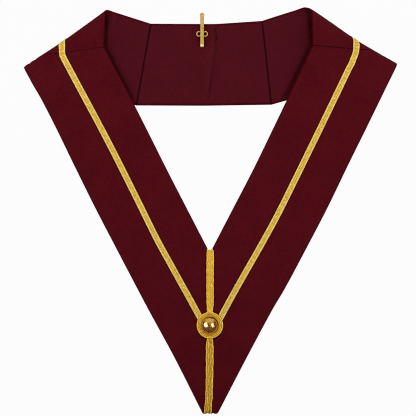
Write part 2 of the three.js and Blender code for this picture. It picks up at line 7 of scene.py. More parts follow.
import bpy
import numpy as np
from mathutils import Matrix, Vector


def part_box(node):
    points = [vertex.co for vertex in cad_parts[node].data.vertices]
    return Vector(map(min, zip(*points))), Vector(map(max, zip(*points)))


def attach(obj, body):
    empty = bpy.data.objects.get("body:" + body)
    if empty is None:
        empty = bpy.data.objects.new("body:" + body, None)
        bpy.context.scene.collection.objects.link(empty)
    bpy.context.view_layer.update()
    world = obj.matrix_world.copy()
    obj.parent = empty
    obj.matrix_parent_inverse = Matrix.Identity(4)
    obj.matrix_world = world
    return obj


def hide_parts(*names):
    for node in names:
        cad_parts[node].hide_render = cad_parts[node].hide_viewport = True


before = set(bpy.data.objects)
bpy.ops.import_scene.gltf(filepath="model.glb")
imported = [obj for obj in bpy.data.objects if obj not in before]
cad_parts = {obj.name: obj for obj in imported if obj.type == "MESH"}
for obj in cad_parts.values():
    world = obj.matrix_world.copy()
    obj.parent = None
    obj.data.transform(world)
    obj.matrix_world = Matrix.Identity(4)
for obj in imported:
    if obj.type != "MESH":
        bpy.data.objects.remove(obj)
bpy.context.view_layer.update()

MM = 0.001
PI = np.pi

# Layers and clearances
SHELL, LINING, LACE, BRAID = 1.6, 1.0, 0.9, 1.6
SEAT = 0.3
FRONT_UNDER = SEAT + LINING
LACE_UNDER = SHELL + SEAT
LOW_LEVEL = LACE_UNDER + LACE
REST_LEVEL = FRONT_UNDER
ON_FRONT = REST_LEVEL + SHELL + SEAT

# The cloth
BAND = 100
RIM_ROUND, SEAM_ROUND = 1.1, 0.5
SEAM_EDGE = -0.1
LINING_INSET = 1.4
POINT_DROP = 1.976 * BAND
POINT_ROUND = 4
FALL = 222
BOW_REACH = 60
BACK_CREASE = 6.5
NECK_DIP, HEM_DIP = 2.4, 0.8
CREASE_RISE, CREASE_SPREAD = 0.8, 5
CLOTH_STEP = 2.2
TUCK_REACH, TUCK_FOOT, TUCK_RISE = 40, 3, 9

# Trimmings
LACE_WIDTH = 7.5
LACE_RIM, LACE_RIM_ROUND = 0.45, 0.45
SELVEDGE_OUT, SELVEDGE_SPREAD = 2.9, 0.75
PRESSED_CLEAR, PRESSED_SHARE, PRESSED_REACH = 0.05, 0.45, 12
PATH_STEP = 1.2
BRAID_WIDTH = 9
BRAID_OVERLAP = 2.4
BRAID_END = 1
ROSETTE_DROP = 0.893 * BAND
ROSETTE_RADIUS = 16.3
TUCKED = ROSETTE_RADIUS - 1.2
BUTTON_RADIUS, BUTTON_HEIGHT, BUTTON_SKIRT = 10.4, 7.6, 1.4

# Hook
WIRE, WIRE_GAP = 1.8, 0.3
HOOK_X, HOOK_BELOW_NECK = -9.5, 12.4
EYE_OUT, EYE_RADIUS = 3.8, 2.6
EYE_STRETCH, EYE_TURNS = 0.3, [35, 80, 125, 170, 215, 260, 300]
HOOK_DOWN, HOOK_UP, HOOK_DEPTH, HOOK_SLOT = 15.6, 24.3, 3.5, 0.55
EYES_LESS, SHAFT_MORE, BEND_LESS, BEND_SPREAD = 0.18, 0.3, 0.3, 1.3
EYES_RUN, SWELL_RUN = 12, 8

# Rows are a share of the neck edge's length, then left and right outer edge, left and right
# neck edge, in shares of the band's width
BAND_EDGES = np.array([
    [-0.62, 0.983, 0.962, 0.006, 0.006],
    [-0.34, 0.975, 0.976, 0.006, 0.006],
    [-0.10, 0.989, 0.997, 0.006, 0.006],
    [0.00, 0.992, 1.018, 0.006, 0.007],
    [0.20, 0.995, 1.035, 0.006, 0.016],
    [0.40, 0.996, 1.045, 0.005, 0.026],
    [0.60, 0.985, 1.036, -0.002, 0.021],
    [0.80, 0.970, 1.031, -0.006, 0.012],
    [0.93, 0.969, 1.027, -0.001, 0.004],
    [1.00, 0.979, 1.025, 0.0, 0.0],
    [1.25, 0.984, 1.026, 0.0, 0.0],
])
# Middle of the lace, left and right
LACE_LINE = np.array([
    [-0.30, 0.470, 0.467],
    [-0.16, 0.479, 0.479],
    [-0.03, 0.487, 0.497],
    [0.08, 0.503, 0.514],
    [0.24, 0.498, 0.537],
    [0.62, 0.484, 0.534],
    [1.00, 0.496, 0.518],
])
# How far the fold bows in, left and right, in shares of its roll's radius
FOLD_BOW = np.array([
    [-0.1, -0.2, 0],
    [0, -0.2, 0],
    [0.25, 0.03, 0.25],
    [0.47, 0.2, 0.38],
    [0.75, 0.13, 0.25],
    [0.95, 0.03, 0.2],
    [1.01, -0.05, 0.33],
    [1.1, -0.1, 0.46],
    [1.4, -0.1, 0.46],
])
# Middle and width of the braids in shares of the braid's width, from the rosette outwards
BRAID_UP = np.array([
    [0, 0, 0.76],
    [0.16, 0.03, 0.98],
    [0.5, 0.02, 1],
    [0.93, 0.05, 1],
    [0.97, 0.05, 0.95],
    [1, -0.03, 0.78],
])
BRAID_DOWN = np.array([
    [0, -0.01, 0.76],
    [0.12, -0.02, 1],
    [0.45, -0.04, 1],
    [0.75, -0.11, 0.97],
    [0.9, -0.22, 0.97],
    [1, -0.32, 1.08],
])

button_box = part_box("button")
SHIFT = np.array([
    (button_box[0][0] + button_box[1][0]) / 2 / MM,
    (button_box[0][1] + button_box[1][1]) / 2 / MM + ROSETTE_DROP,
    0.0,
])


def follow(table, column, along):
    """Cubic Hermite curve through a table's rows, whose slope at a row is that of the chord
    between its neighbours."""
    at, value = table[:, 0], table[:, column]
    last = len(at) - 1
    i = np.clip(np.searchsorted(at, along, side="right") - 1, 0, last - 1)
    before, after = np.maximum(i - 1, 0), np.minimum(i + 2, last)
    span = at[i + 1] - at[i]
    t = np.clip((along - at[i]) / span, 0, 1)
    start = (value[i + 1] - value[before]) / (at[i + 1] - at[before]) * span
    end = (value[after] - value[i]) / (at[after] - at[i]) * span
    rest = value[i + 1] - value[i]
    return value[i] + t * (start + t * (3 * rest - 2 * start - end + t * (start + end - 2 * rest)))


def stacked(*parts):
    """Points from their coordinates."""
    return np.stack(np.broadcast_arrays(*parts), axis=-1)


def unit(ways):
    """The vectors of a list at the length 1."""
    return ways / np.linalg.norm(ways, axis=1, keepdims=True)


def bell(x, spread):
    """Gaussian bump of height 1 whose width is spread."""
    return np.exp(-(x / spread) ** 2)


class Side:
    """One half of the collar, as cut and as folded."""

    def __init__(self, name, sign, lean, front, seam_run, fold_run, slope, roll, neck, neck_lean,
                 back_seam, back_seam_slope, lace_run, lace_lean, lace_over, lace_setback, tuck, seam_lift):
        self.name, self.sign, self.front, self.roll = name, sign, front, roll
        self.column = 1 if sign < 0 else 2
        self.lean = np.radians(lean)
        self.seam_run, self.lace_run = seam_run, lace_run
        self.lace_lean, self.lace_over = np.radians(lace_lean), lace_over
        self.lace_setback, self.tuck, self.seam_lift = lace_setback, tuck, seam_lift
        slope, neck_lean = np.radians(slope), np.radians(neck_lean)
        back_slope = np.radians(back_seam_slope)
        self.fold_along = np.array([-np.cos(slope), np.sin(slope)])
        self.fold_inward = np.array([-np.sin(slope), -np.cos(slope)])
        self.fold_origin = self.outer_edge(front + fold_run) + self.fold_inward * SHELL
        self.neck_corner = self.inner_edge(front)
        self.outer_corner = self.outer_edge(front + seam_run)
        self.back_neck = self.neck_corner + neck * np.array([np.sin(neck_lean), np.cos(neck_lean)])
        self.back_hem = self.back_neck + back_seam * np.array(
            [np.cos(back_slope), np.sin(back_slope)])
        self.fold_length = (0.55 * self.to_sheet(self.neck_corner)
                            + 0.45 * self.to_sheet(self.back_neck))[0]

    def band_point(self, along, across):
        """Point at a distance along the band from the V and across it from the neck edge: the
        band's two directions are the centre line's, turned by its lean."""
        sin, cos = np.sin(self.lean), np.cos(self.lean)
        return stacked(along * sin + across * cos, along * cos - across * sin)

    def outer_edge(self, along):
        """Point of the outer edge, BAND times the table's share across."""
        return self.band_point(
            along, BAND * follow(BAND_EDGES, self.column, along / self.front))

    def inner_edge(self, along):
        """Point of the neck edge, BAND times the table's share across."""
        return self.band_point(
            along, BAND * follow(BAND_EDGES, self.column + 2, along / self.front))

    def across_band(self, along, share):
        """Distance across the band a share of the way from the neck edge to the outer edge."""
        at = along / self.front
        return BAND * mix(follow(BAND_EDGES, self.column + 2, at),
                          follow(BAND_EDGES, self.column, at), share)

    def lace_line(self, along):
        """Point of the lace's middle line."""
        return self.band_point(along, BAND * follow(LACE_LINE, self.column, along / self.front))

    def to_sheet(self, flat):
        """Place of a point of the opened cloth along the fold and across it, where the roll's
        own edge is nought."""
        away = flat - self.fold_origin
        slack = (PI / 2 - 1) * self.roll
        return stacked(away @ self.fold_along, away @ self.fold_inward + slack)

    def fold_gap(self, flat):
        """Distance from the roll's outline as seen from above."""
        away = np.abs(self.to_sheet(flat)[..., 1])
        turn = np.minimum(away / self.roll, PI / 2)
        return self.roll * (1 - np.cos(turn)) + away - turn * self.roll

    def wrap(self, flat, height):
        """Folded place of a point at a height off the cloth's inner face: the lower layer lies
        flat, a half circle of the roll's radius turns it over, and the upper layer comes down
        in a half cosine over the length FALL. The fold line bows in by the table's share of the
        radius, which dies out with the square of the distance from it."""
        sheet = self.to_sheet(flat)
        x, y = sheet[..., 0], sheet[..., 1]
        roll = self.roll
        turn = np.clip(y / roll, -PI / 2, PI / 2)
        run = np.abs(y) - np.abs(turn) * roll
        depth = roll * (1 - np.cos(turn)) + run
        level = LOW_LEVEL + roll * (1 + np.sin(turn))
        drop = LOW_LEVEL + 2 * roll - REST_LEVEL
        phase = PI * np.minimum(run / FALL, 1)
        upper = y > PI / 2 * roll
        level = np.where(upper, level - drop * (1 - np.cos(phase)) / 2, level)
        tilt = drop * PI / 2 / FALL * np.sin(phase)
        out_x = np.where(upper, tilt / np.hypot(tilt, 1), -np.cos(turn))
        out_z = np.where(upper, 1 / np.hypot(tilt, 1), np.sin(turn))
        reach = np.clip(1 - depth / BOW_REACH, 0, 1)
        bow = roll * follow(FOLD_BOW, self.column, x / self.fold_length)
        depth = depth + bow * reach ** 2 + out_x * height
        plan = (self.fold_origin + x[..., None] * self.fold_along
                + depth[..., None] * self.fold_inward)
        return stacked(self.sign * plan[..., 0], plan[..., 1], level + out_z * height)


LEFT = Side("left", -1, lean=27.3, front=280.6, seam_run=35, fold_run=22.7, slope=35, roll=4.5,
            neck=103.4, neck_lean=-2.5, back_seam=101.3, back_seam_slope=10,
            lace_run=10.4, lace_lean=10, lace_over=13, lace_setback=-5, tuck=0,
            seam_lift=0.75)
RIGHT = Side("right", 1, lean=26.4, front=280.1, seam_run=43, fold_run=26.1, slope=33.2, roll=8,
             neck=112.3, neck_lean=-4, back_seam=103.1, back_seam_slope=17.3,
             lace_run=5.6, lace_lean=12.8, lace_over=22.8, lace_setback=8.6, tuck=3.2,
             seam_lift=0.5)
SIDES = (LEFT, RIGHT)


def spread_shares(length, step):
    """Shares of a length from 0 to 1: at equal turns of a quarter circle in the rounded edge at
    each end, and a step apart between them."""
    near = RIM_ROUND * (1 - np.cos(np.linspace(0, PI / 2, 5)))[:-1]
    count = max(int(np.ceil((length - 2 * RIM_ROUND) / step)), 1)
    inner = np.linspace(RIM_ROUND, length - RIM_ROUND, count + 1)
    return np.concatenate([near, inner, (length - near)[::-1]]) / length


def signed_volume(points, quads):
    """Sum over the faces of a sixth of the triple products of their corners."""
    a, b, c, d = (points[quads[:, k]] for k in range(4))
    return (np.einsum("ij,ij->i", np.cross(a, b), c).sum()
            + np.einsum("ij,ij->i", np.cross(a, c), d).sum()) / 6


def add_piece(name, points, quads, finish, nodes, uv=None, values=None):
    """Mesh of points in millimetres and four-cornered faces, turned outwards. uv is in
    millimetres too, and values are numbers for each point."""
    if signed_volume(points, quads) < 0:
        quads = quads[:, ::-1]
    mesh = bpy.data.meshes.new(name)
    mesh.from_pydata(((points + SHIFT) * MM).tolist(), [], quads.tolist())
    mesh.polygons.foreach_set("use_smooth", np.ones(len(quads), dtype=bool))
    if uv is not None:
        layer = mesh.uv_layers.new(name="flat")
        loops = np.empty(len(mesh.loops), dtype=np.int32)
        mesh.loops.foreach_get("vertex_index", loops)
        layer.data.foreach_set("uv", (uv[loops] * MM).astype(np.float32).ravel())
    for label, numbers in (values or {}).items():
        attribute = mesh.attributes.new(label, "FLOAT", "POINT")
        attribute.data.foreach_set("value", numbers.astype(np.float32).ravel())
    mesh.update()
    mesh.validate()
    piece = bpy.data.objects.new(name, mesh)
    bpy.context.scene.collection.objects.link(piece)
    mesh.materials.append(finish)
    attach(piece, "root")
    if nodes:
        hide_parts(*nodes)
    return piece


def joined(parts):
    """Points, faces, uv and values of several shells as those of one."""
    points = np.concatenate([p[0] for p in parts])
    starts = np.cumsum([0] + [len(p[0]) for p in parts[:-1]])
    quads = np.concatenate([p[1] + s for p, s in zip(parts, starts)])
    uv = np.concatenate([p[2] for p in parts])
    values = {k: np.concatenate([p[3][k] for p in parts]) for k in parts[0][3]}
    return points, quads, uv, values


def slab(top, under, uv, values):
    """Closed shell of two grids that share their border points."""
    rows, columns = top.shape[:2]
    count = rows * columns
    upper = np.arange(count).reshape(rows, columns)
    lower = upper.copy()
    lower[1:-1, 1:-1] = count + np.arange((rows - 2) * (columns - 2)).reshape(rows - 2, -1)

    def faces(index):
        return np.stack([index[:-1, :-1], index[1:, :-1], index[1:, 1:], index[:-1, 1:]],
                        axis=-1).reshape(-1, 4)

    points = np.concatenate([top.reshape(-1, 3), under[1:-1, 1:-1].reshape(-1, 3)])
    quads = np.concatenate([faces(upper), faces(lower)[:, ::-1]])
    both = np.concatenate([uv.reshape(-1, 2), uv[1:-1, 1:-1].reshape(-1, 2)])
    numbers = {k: np.concatenate([v.reshape(-1), v[1:-1, 1:-1].reshape(-1)])
               for k, v in values.items()}
    return points, quads, both, numbers


def quarter_round(gap, reach):
    """Height of a quarter circle of radius 1 at a distance from its foot, in shares of reach."""
    return np.sqrt(1 - (1 - np.clip(gap / reach, 0, 1)) ** 2)


# Distance of points that no fold or trimming is near
FAR = 9.0
# Creases of the lining and painted shade in its pockets, beside the neck edges of the fronts and shoulders
# and round the hook: each sinks the lining and darkens its colour, and a negative depth paints a lighter
# strip.
# Depth of tone, spread in millimetres, and points of their middle lines
CREASE_DEPTH = 0.9
CREASES_AND_SHADES = [
    (0.8, 1.1, [(5.9, 277), (7.7, 255), (4.4, 226), (-0.6, 188)]),
    (-0.14, 3.0, [(2.6, 276), (4.2, 254), (0.8, 226), (-4.0, 192)]),
    (0.14, 3.5, [(-20, 275), (-18, 250)]),
    (0.12, 2.5, [(1.5, 272), (-1, 255)]),
    (0.55, 1.4, [(-12.6, 264), (-12.2, 252)]),
    (0.45, 1.4, [(-5.4, 264), (-5.6, 251)]),
    (0.45, 1.3, [(-12.6, 277), (-12.6, 272)]),
    (0.4, 1.3, [(-5.6, 277), (-5.8, 272)]),
    (0.32, 1.3, [(-110.5, 288.5), (-113.5, 279)]),
    (-0.06, 3.0, [(-116, 287), (-119, 276)]),
    (0.55, 2.6, [(-127.2, 291), (-127.6, 267), (-128.6, 252)]),
    (0.3, 3.0, [(-123.5, 292), (-125.5, 272)]),
    (0.45, 5.0, [(-127.5, 256), (-126, 246), (-116, 226), (-104, 203), (-92, 183)]),
    (0.5, 2.0, [(122.0, 280), (122.9, 268), (124.2, 257)]),
    (0.35, 3.0, [(119.5, 297), (121.5, 285), (123.2, 272)]),
    (0.4, 1.6, [(123.6, 266), (124.7, 256), (124.7, 250)]),
    (0.45, 3.2, [(123, 252), (118, 240), (107, 219), (95, 196), (88, 182)]),
]


def stroke(plan, spread, points):
    """Bell of the distance to a curve through points. It fades out over the curve's last
    tenths."""
    line = even_path(np.array(points, dtype=float), 1.5)[0]
    gap = np.linalg.norm(plan[..., None, :] - line, axis=-1)
    share = gap.argmin(axis=-1) / (len(line) - 1)
    fade = np.clip(np.minimum(share, 1 - share) * 6 + 0.35, 0, 1)
    return bell(gap.min(axis=-1), spread) * fade


def crease_depths_and_shades(points):
    """Depth of the lining's creases and painted shade at each point, seen in plan."""
    return sum(tone * stroke(points[..., :2], spread, line) for tone, spread, line in CREASES_AND_SHADES)


def cloth(flat, gap, place, low, high, marks=False, **values):
    """Two faces over one grid of points of the opened cloth. Towards the rims and the seams,
    whose distances gap holds, their heights meet in a quarter ellipse. With marks, the creases
    of the lining sink both faces, and their depth is kept for the shader, which darkens the colour by it as
    painted shade. values are further numbers for each point."""
    middle, half = (low + high) / 2, (high - low) / 2
    rim, seam = gap
    for label, default in (("fold", FAR), ("mark", 0.0), ("trim", FAR)):
        values.setdefault(label, np.full(rim.shape, default))
    puff = np.minimum(quarter_round(rim, RIM_ROUND), quarter_round(seam, SEAM_ROUND))
    puff[[0, -1], :] = 0
    puff[:, [0, -1]] = 0
    top = place(flat, middle + half * puff)
    under = place(flat, middle - half * puff)
    if marks:
        mark = crease_depths_and_shades(top)
        shift = -CREASE_DEPTH * mark * (top[..., 2] < LOW_LEVEL + 2 * FRONT_UNDER)
        top[..., 2] += shift
        under[..., 2] += shift
        values["mark"] = mark
    return slab(top, under, flat, {"edge": rim, "seam": seam, **values})


def front_grid(side):
    """Grid over a front band. Across, it runs from the neck edge to the outer edge. Along, it
    starts at the mitre on the centre line, the flat tip or its rounded corner, whichever is
    furthest up the band, and ends at the shoulder seam. Returns points and border distances."""
    sin, cos = np.sin(side.lean), np.cos(side.lean)
    across = spread_shares(BAND, CLOTH_STEP)
    lowest = BAND_EDGES[0]
    # centre of the rounded corner, a radius in from the base line and the outer edge
    centre_across = BAND * lowest[side.column] - POINT_ROUND
    centre_along = (centre_across * sin - POINT_DROP + POINT_ROUND) / cos
    start = np.full(across.shape, lowest[0] * side.front)
    for _ in range(5):
        width = side.across_band(start, across)
        mitre = (SEAM_EDGE - width * cos) / sin
        base = (width * sin - POINT_DROP) / cos
        inside = np.clip((width - centre_across) / POINT_ROUND, -1, 1)
        arc = np.where(width > centre_across - POINT_ROUND * sin,
                       centre_along - POINT_ROUND * np.sqrt(1 - inside ** 2), -1e9)
        start = np.maximum(np.maximum(mitre, base), arc)
    end = side.front + side.seam_run * across - SEAM_EDGE
    rows = spread_shares(side.front, CLOTH_STEP)
    along = start + (end - start) * rows[:, None]
    share = np.broadcast_to(across, along.shape)
    width = side.across_band(along, share)
    flat = side.band_point(along, width)
    seam_turn = np.cos(np.arctan2(side.seam_run, BAND))
    corner = side.band_point(centre_along, centre_across)
    away = np.linalg.norm(flat - corner, axis=-1)
    rounded = np.where((flat[..., 1] < corner[1]) & (width > centre_across),
                       POINT_ROUND - away, 1e9)
    rim = np.minimum.reduce([share * BAND, (1 - share) * BAND, flat[..., 1] + POINT_DROP, rounded])
    seam = np.minimum(flat[..., 0] - SEAM_EDGE, (end - along) * seam_turn)
    return flat, (np.maximum(rim, 0), np.maximum(seam, 0))


def mix(a, b, share):
    """The value a share of the way from a to b."""
    return a + (b - a) * share


def inset_corners(corners, insets):
    """Corners of a four-sided outline whose edges are moved inwards: each edge's line is moved
    along its normal, and each corner is where two neighbouring lines cross."""
    corners = np.asarray(corners, dtype=float)
    ways = unit(np.roll(corners, -1, axis=0) - corners)
    inward = stacked(-ways[:, 1], ways[:, 0])
    inward *= np.sign(np.einsum("ij,ij->i", inward, corners.mean(axis=0) - corners))[:, None]
    starts = corners + inward * np.asarray(insets, dtype=float)[:, None]
    before, way_before = np.roll(starts, 1, axis=0), np.roll(ways, 1, axis=0)
    apart = starts - before
    cross = way_before[:, 0] * ways[:, 1] - way_before[:, 1] * ways[:, 0]
    share = (apart[:, 0] * ways[:, 1] - apart[:, 1] * ways[:, 0]) / cross
    return before + way_before * share[:, None]


def four_sided(corners):
    """Bilinear grid over a four-sided outline and its distances to the rims, which are its second
    and fourth edge, and to the seams, its first and third."""
    a, b, c, d = corners
    across = spread_shares(np.linalg.norm(b - a), CLOTH_STEP)[None, :, None]
    down = spread_shares((np.linalg.norm(d - a) + np.linalg.norm(c - b)) / 2,
                         CLOTH_STEP)[:, None, None]
    flat = mix(mix(a, b, across), mix(d, c, across), down)
    gaps = []
    for start, way in zip(corners, [b - a, c - b, d - c, a - d]):
        away = flat - start
        gaps.append(np.abs(away[..., 0] * way[1] - away[..., 1] * way[0]) / np.linalg.norm(way))
    return flat, (np.minimum(gaps[1], gaps[3]), np.minimum(gaps[0], gaps[2]))


def shoulder_grid(side, inset):
    """Grid over a shoulder piece, with its neck and outer edges moved in."""
    return four_sided(inset_corners(
        [side.neck_corner, side.outer_corner, side.back_hem, side.back_neck],
        [SEAM_EDGE, inset, SEAM_EDGE, inset]))


def tucked_in(side, flat):
    """Points of a shoulder piece whose neck edge draws back from the neck at the fold: by the
    side's tuck there, less in straight lines towards the front seam and at the roll, and less
    with the square of the distance from the edge."""
    y = side.to_sheet(flat)[..., 1]
    seam = side.to_sheet(side.neck_corner)[1]
    rise = np.clip(np.minimum(1 - y / seam, (y + TUCK_FOOT) / TUCK_RISE), 0, 1)
    way = side.back_neck - side.neck_corner
    away = flat - side.neck_corner
    inside = np.abs(away[..., 0] * way[1] - away[..., 1] * way[0]) / np.linalg.norm(way)
    pull = side.tuck * rise * np.clip(1 - inside / TUCK_REACH, 0, 1) ** 2
    return flat + pull[..., None] * [1.0, 0.0]


# The back piece between the two back seams, with a soft crease down its middle
NECK_ENDS = [side.wrap(side.back_neck, np.float64(0))[:2] for side in SIDES]
HEM_ENDS = [side.wrap(side.back_hem, np.float64(0))[:2] for side in SIDES]
NECK_CREASE = mix(NECK_ENDS[0], NECK_ENDS[1], (BACK_CREASE - NECK_ENDS[0][0])
                  / (NECK_ENDS[1][0] - NECK_ENDS[0][0])) - [0, NECK_DIP]
HEM_CREASE = mix(HEM_ENDS[0], HEM_ENDS[1], 0.5) - [0, HEM_DIP]
BACK_LENGTH = np.linalg.norm(NECK_CREASE - HEM_CREASE)


def back_point(across, down):
    """Point of the back: across runs from -1 at the left seam over 0 at the crease to 1 at the
    right seam, and down from 0 at the neck edge to 1 at the hem, both in straight lines."""
    share = np.abs(across)[..., None]
    left = (across < 0)[..., None]
    neck = mix(NECK_CREASE, np.where(left, NECK_ENDS[0], NECK_ENDS[1]), share)
    hem = mix(HEM_CREASE, np.where(left, HEM_ENDS[0], HEM_ENDS[1]), share)
    return mix(neck, hem, down[..., None])


def crease_line(y):
    """x of the crease at a height y, in a straight line from neck to hem."""
    return mix(NECK_CREASE[0], HEM_CREASE[0], (NECK_CREASE[1] - y) / (NECK_CREASE[1] - HEM_CREASE[1]))


def on_back(flat, height):
    """Folded place of a point of the back: its outer face looks down, and a bell-shaped ridge
    lifts it along the crease."""
    rise = CREASE_RISE * bell(flat[..., 0] - crease_line(flat[..., 1]), CREASE_SPREAD)
    return stacked(flat[..., 0], flat[..., 1], LOW_LEVEL + rise - height)


def back_grid(inset):
    """Grid over the back from seam to seam and its border distances."""
    half = (NECK_ENDS[1] - NECK_CREASE)[0]
    side = spread_shares(2 * half, CLOTH_STEP) * 2 - 1
    side = side * (1 - SEAM_EDGE / half)
    margin = inset / BACK_LENGTH
    down = mix(margin, 1 - margin, spread_shares(BACK_LENGTH - 2 * inset, CLOTH_STEP))
    across, down = np.meshgrid(side, down)
    flat = back_point(across, down)
    rim = np.minimum(down - margin, 1 - margin - down) * BACK_LENGTH
    seam = (1 - np.abs(across)) * half - SEAM_EDGE
    return flat, (np.maximum(rim, 0), np.maximum(seam, 0))


class Number:
    """A node's output. Arithmetic on it adds Math nodes."""

    def __init__(self, nodes, socket):
        self.nodes, self.socket = nodes, socket

    def math(self, operation, *others):
        return self.nodes.add("ShaderNodeMath", {"operation": operation}, [self, *others])["Value"]

    def __add__(self, other):
        return self.math("ADD", other)

    def __mul__(self, other):
        return self.math("MULTIPLY", other)

    def __sub__(self, other):
        return self.math("SUBTRACT", other)

    def __rsub__(self, other):
        return self.nodes.add("ShaderNodeMath", {"operation": "SUBTRACT"}, [other, self])["Value"]

    __radd__, __rmul__ = __add__, __mul__

    def sin(self):
        return self.math("SINE")

    def abs(self):
        return self.math("ABSOLUTE")

    def clamped(self):
        return self.nodes.add("ShaderNodeClamp", {}, {"Value": self})["Result"]

    def step(self, low, high):
        """0 below low and 1 above high, with a smooth rise between."""
        return self.nodes.add(
            "ShaderNodeMapRange", {"interpolation_type": "SMOOTHSTEP"},
            {"Value": self, "From Min": low, "From Max": high})["Result"]


class Nodes:
    """A node tree. add makes a node: first its settings, then the values or links of its
    sockets, which are given by name or in their order."""

    def __init__(self, tree):
        self.tree = tree

    def add(self, kind, settings, inputs):
        made = self.tree.nodes.new(kind)
        for label, value in settings.items():
            setattr(made, label, value)
        pairs = inputs.items() if isinstance(inputs, dict) else enumerate(inputs)
        for label, value in pairs:
            self.feed(made.inputs[label], value)
        return {out.name: Number(self, out) for out in made.outputs if out.enabled}

    def feed(self, socket, value):
        """Links a number to a socket, or sets the socket's own value."""
        if isinstance(value, Number):
            self.tree.links.new(value.socket, socket)
        elif socket.type == "RGBA" and len(value) == 3:
            socket.default_value = (*value, 1.0)
        else:
            socket.default_value = value

    def mix_colour(self, share, a, b):
        """Colour a share of the way from a to b."""
        return self.add("ShaderNodeMix", {"data_type": "RGBA"}, {0: share, 6: a, 7: b})["Result"]

    def scaled(self, colour, factor):
        """Colour or vector times a number."""
        return self.add("ShaderNodeVectorMath", {"operation": "SCALE"},
                        {0: colour, "Scale": factor})["Vector"]

    def stretched(self, vector, factors):
        """Vector times another one."""
        return self.add("ShaderNodeVectorMath", {"operation": "MULTIPLY"}, [vector, factors])["Vector"]

    def split(self, vector):
        """The three numbers of a vector."""
        parts = self.add("ShaderNodeSeparateXYZ", {}, [vector])
        return parts["X"], parts["Y"], parts["Z"]

    def place(self, kind="Object"):
        """Texture coordinates of a kind."""
        return self.add("ShaderNodeTexCoord", {}, {})[kind]

    def noise(self, vector, scale, detail=2.0, roughness=0.5):
        """Perlin noise about 0.5."""
        return self.add("ShaderNodeTexNoise", {}, {
            "Vector": vector, "Scale": scale, "Detail": detail, "Roughness": roughness})["Fac"]


class Finish(Nodes):
    """A procedural material and its shader."""

    def __init__(self, name, **constants):
        self.material = bpy.data.materials.new(name)
        self.material.use_nodes = True
        super().__init__(self.material.node_tree)
        self.shader = self.tree.nodes["Principled BSDF"]
        self.set(**constants)

    def set(self, **inputs):
        """Values or links of the shader's sockets."""
        for label, value in inputs.items():
            self.feed(self.shader.inputs[label.replace("_", " ")], value)

    def attribute(self, name):
        """The piece's own number of that name."""
        return self.add("ShaderNodeAttribute", {"attribute_name": name}, {})["Fac"]

    def flat(self):
        """The coordinates of the opened cloth or the cord, in metres: as a vector, and its two
        numbers."""
        uv = self.add("ShaderNodeUVMap", {"uv_map": "flat"}, {})["UV"]
        return uv, *self.split(uv)[:2]

    def bump(self, height, distance, strength=1.0):
        """Feeds a height in shares of a distance to the shader's normal."""
        self.set(Normal=self.add("ShaderNodeBump", {}, {
            "Height": height, "Distance": distance, "Strength": strength})["Normal"])


def linear(red, green, blue):
    """Linear colour from 8-bit sRGB values, by the standard power law and its straight foot."""
    shares = np.array([red, green, blue]) / 255
    return tuple(float(v) for v in np.where(
        shares <= 0.04045, shares / 12.92, ((shares + 0.055) / 1.055) ** 2.4))


def woven_cloth(name, colour, rim_shade_colour, thread, mottle):
    """Plain woven cloth: crossed threads as the product of two sine ridges, slubs and mottling
    from noise at three scales, and painted shade: darker rims and roll outlines, dark seam
    valleys, creases and pockets, and shadow strips beside the trimmings."""
    f = Finish(name, Roughness=0.85, Specular_IOR_Level=0.02, Sheen_Weight=0.05,
               Sheen_Roughness=0.45, Sheen_Tint=colour)
    uv, x, y = f.flat()
    pace = 2 * PI / (thread * MM)
    threads = (x * pace).sin() * (y * pace).sin()
    slub = f.noise(f.stretched(uv, (1.0, 0.12, 1.0)), 1400, 1.0)
    cloudy = f.noise(uv, 230, 4.0, 0.6)
    broad = f.noise(uv, 26, 2.0)
    shade = 1 + (cloudy - 0.5) * mottle + (broad - 0.5) * mottle * 0.7 + (slub - 0.5) * 0.12 \
        + threads * 0.05
    # Painted shade: this share is 0 at the rims and at the roll's outline by the fold, where the colour
    # turns to the darker rim shade colour, and 1 away from them.
    pressed = f.attribute("edge").step(0.1, 2.2) * f.attribute("fold").step(0.0, 1.6)
    # Painted shade in the seam valleys: the colour darkens towards each seam line.
    seam_shade = f.attribute("seam").step(0.3, 1.8) * 0.72 + 0.28
    # Painted shadow: the cloth darkens in a strip beside the edges of the lace, braids and rosette.
    beside = f.attribute("trim").step(-0.1, 2.0) * 0.6 + 0.4
    tone = f.mix_colour(pressed, rim_shade_colour, colour)
    # The lining's creases and pockets darken the colour as painted shade, and the lighter strips brighten
    # it as painted light.
    f.set(Base_Color=f.scaled(tone, shade * seam_shade * beside * (1 - f.attribute("mark"))))
    f.bump(threads * 0.35 + slub * 0.5 + cloudy * 0.8, 0.0002, 0.6)
    return f.material


def woven_lace(name):
    """Gilt lace: flat selvedges of fine cross cords on both sides of a middle woven in small
    chequers, from the distance across and along the strip."""
    f = Finish(name, Roughness=0.5, Metallic=0.08, Specular_IOR_Level=0.1)
    uv, across, along = f.flat()
    out = across.abs()
    selvedge = out.step(0.0021, 0.0026)
    rim = out.step(0.0033, 0.0037)
    ribs = (along * (2 * PI / 0.0016)).sin()
    chequer = ((along + across) * (2 * PI / 0.0036)).sin() \
        * ((along - across) * (2 * PI / 0.0036)).sin()
    grain = f.noise(uv, 700, 2.0)
    patch = f.noise(uv, 300, 2.0)
    middle = f.mix_colour((chequer * 0.5 + 0.55 + (grain - 0.5) * 1.2 + (patch - 0.5) * 1.6).clamped(),
                          linear(182, 130, 28), linear(244, 203, 84))
    sides = f.mix_colour((ribs * 0.35 + 0.55 + (grain - 0.5) * 0.9 + (patch - 0.5) * 0.8).clamped(),
                         linear(222, 182, 66), linear(252, 236, 146))
    tone = f.mix_colour(selvedge, middle, sides)
    f.set(Base_Color=f.mix_colour(rim * 0.35, tone, linear(130, 70, 24)))
    f.bump(chequer * (1 - selvedge) * 0.6 + ribs * selvedge * 0.5 + grain * 0.4, 0.0004, 0.7)
    return f.material


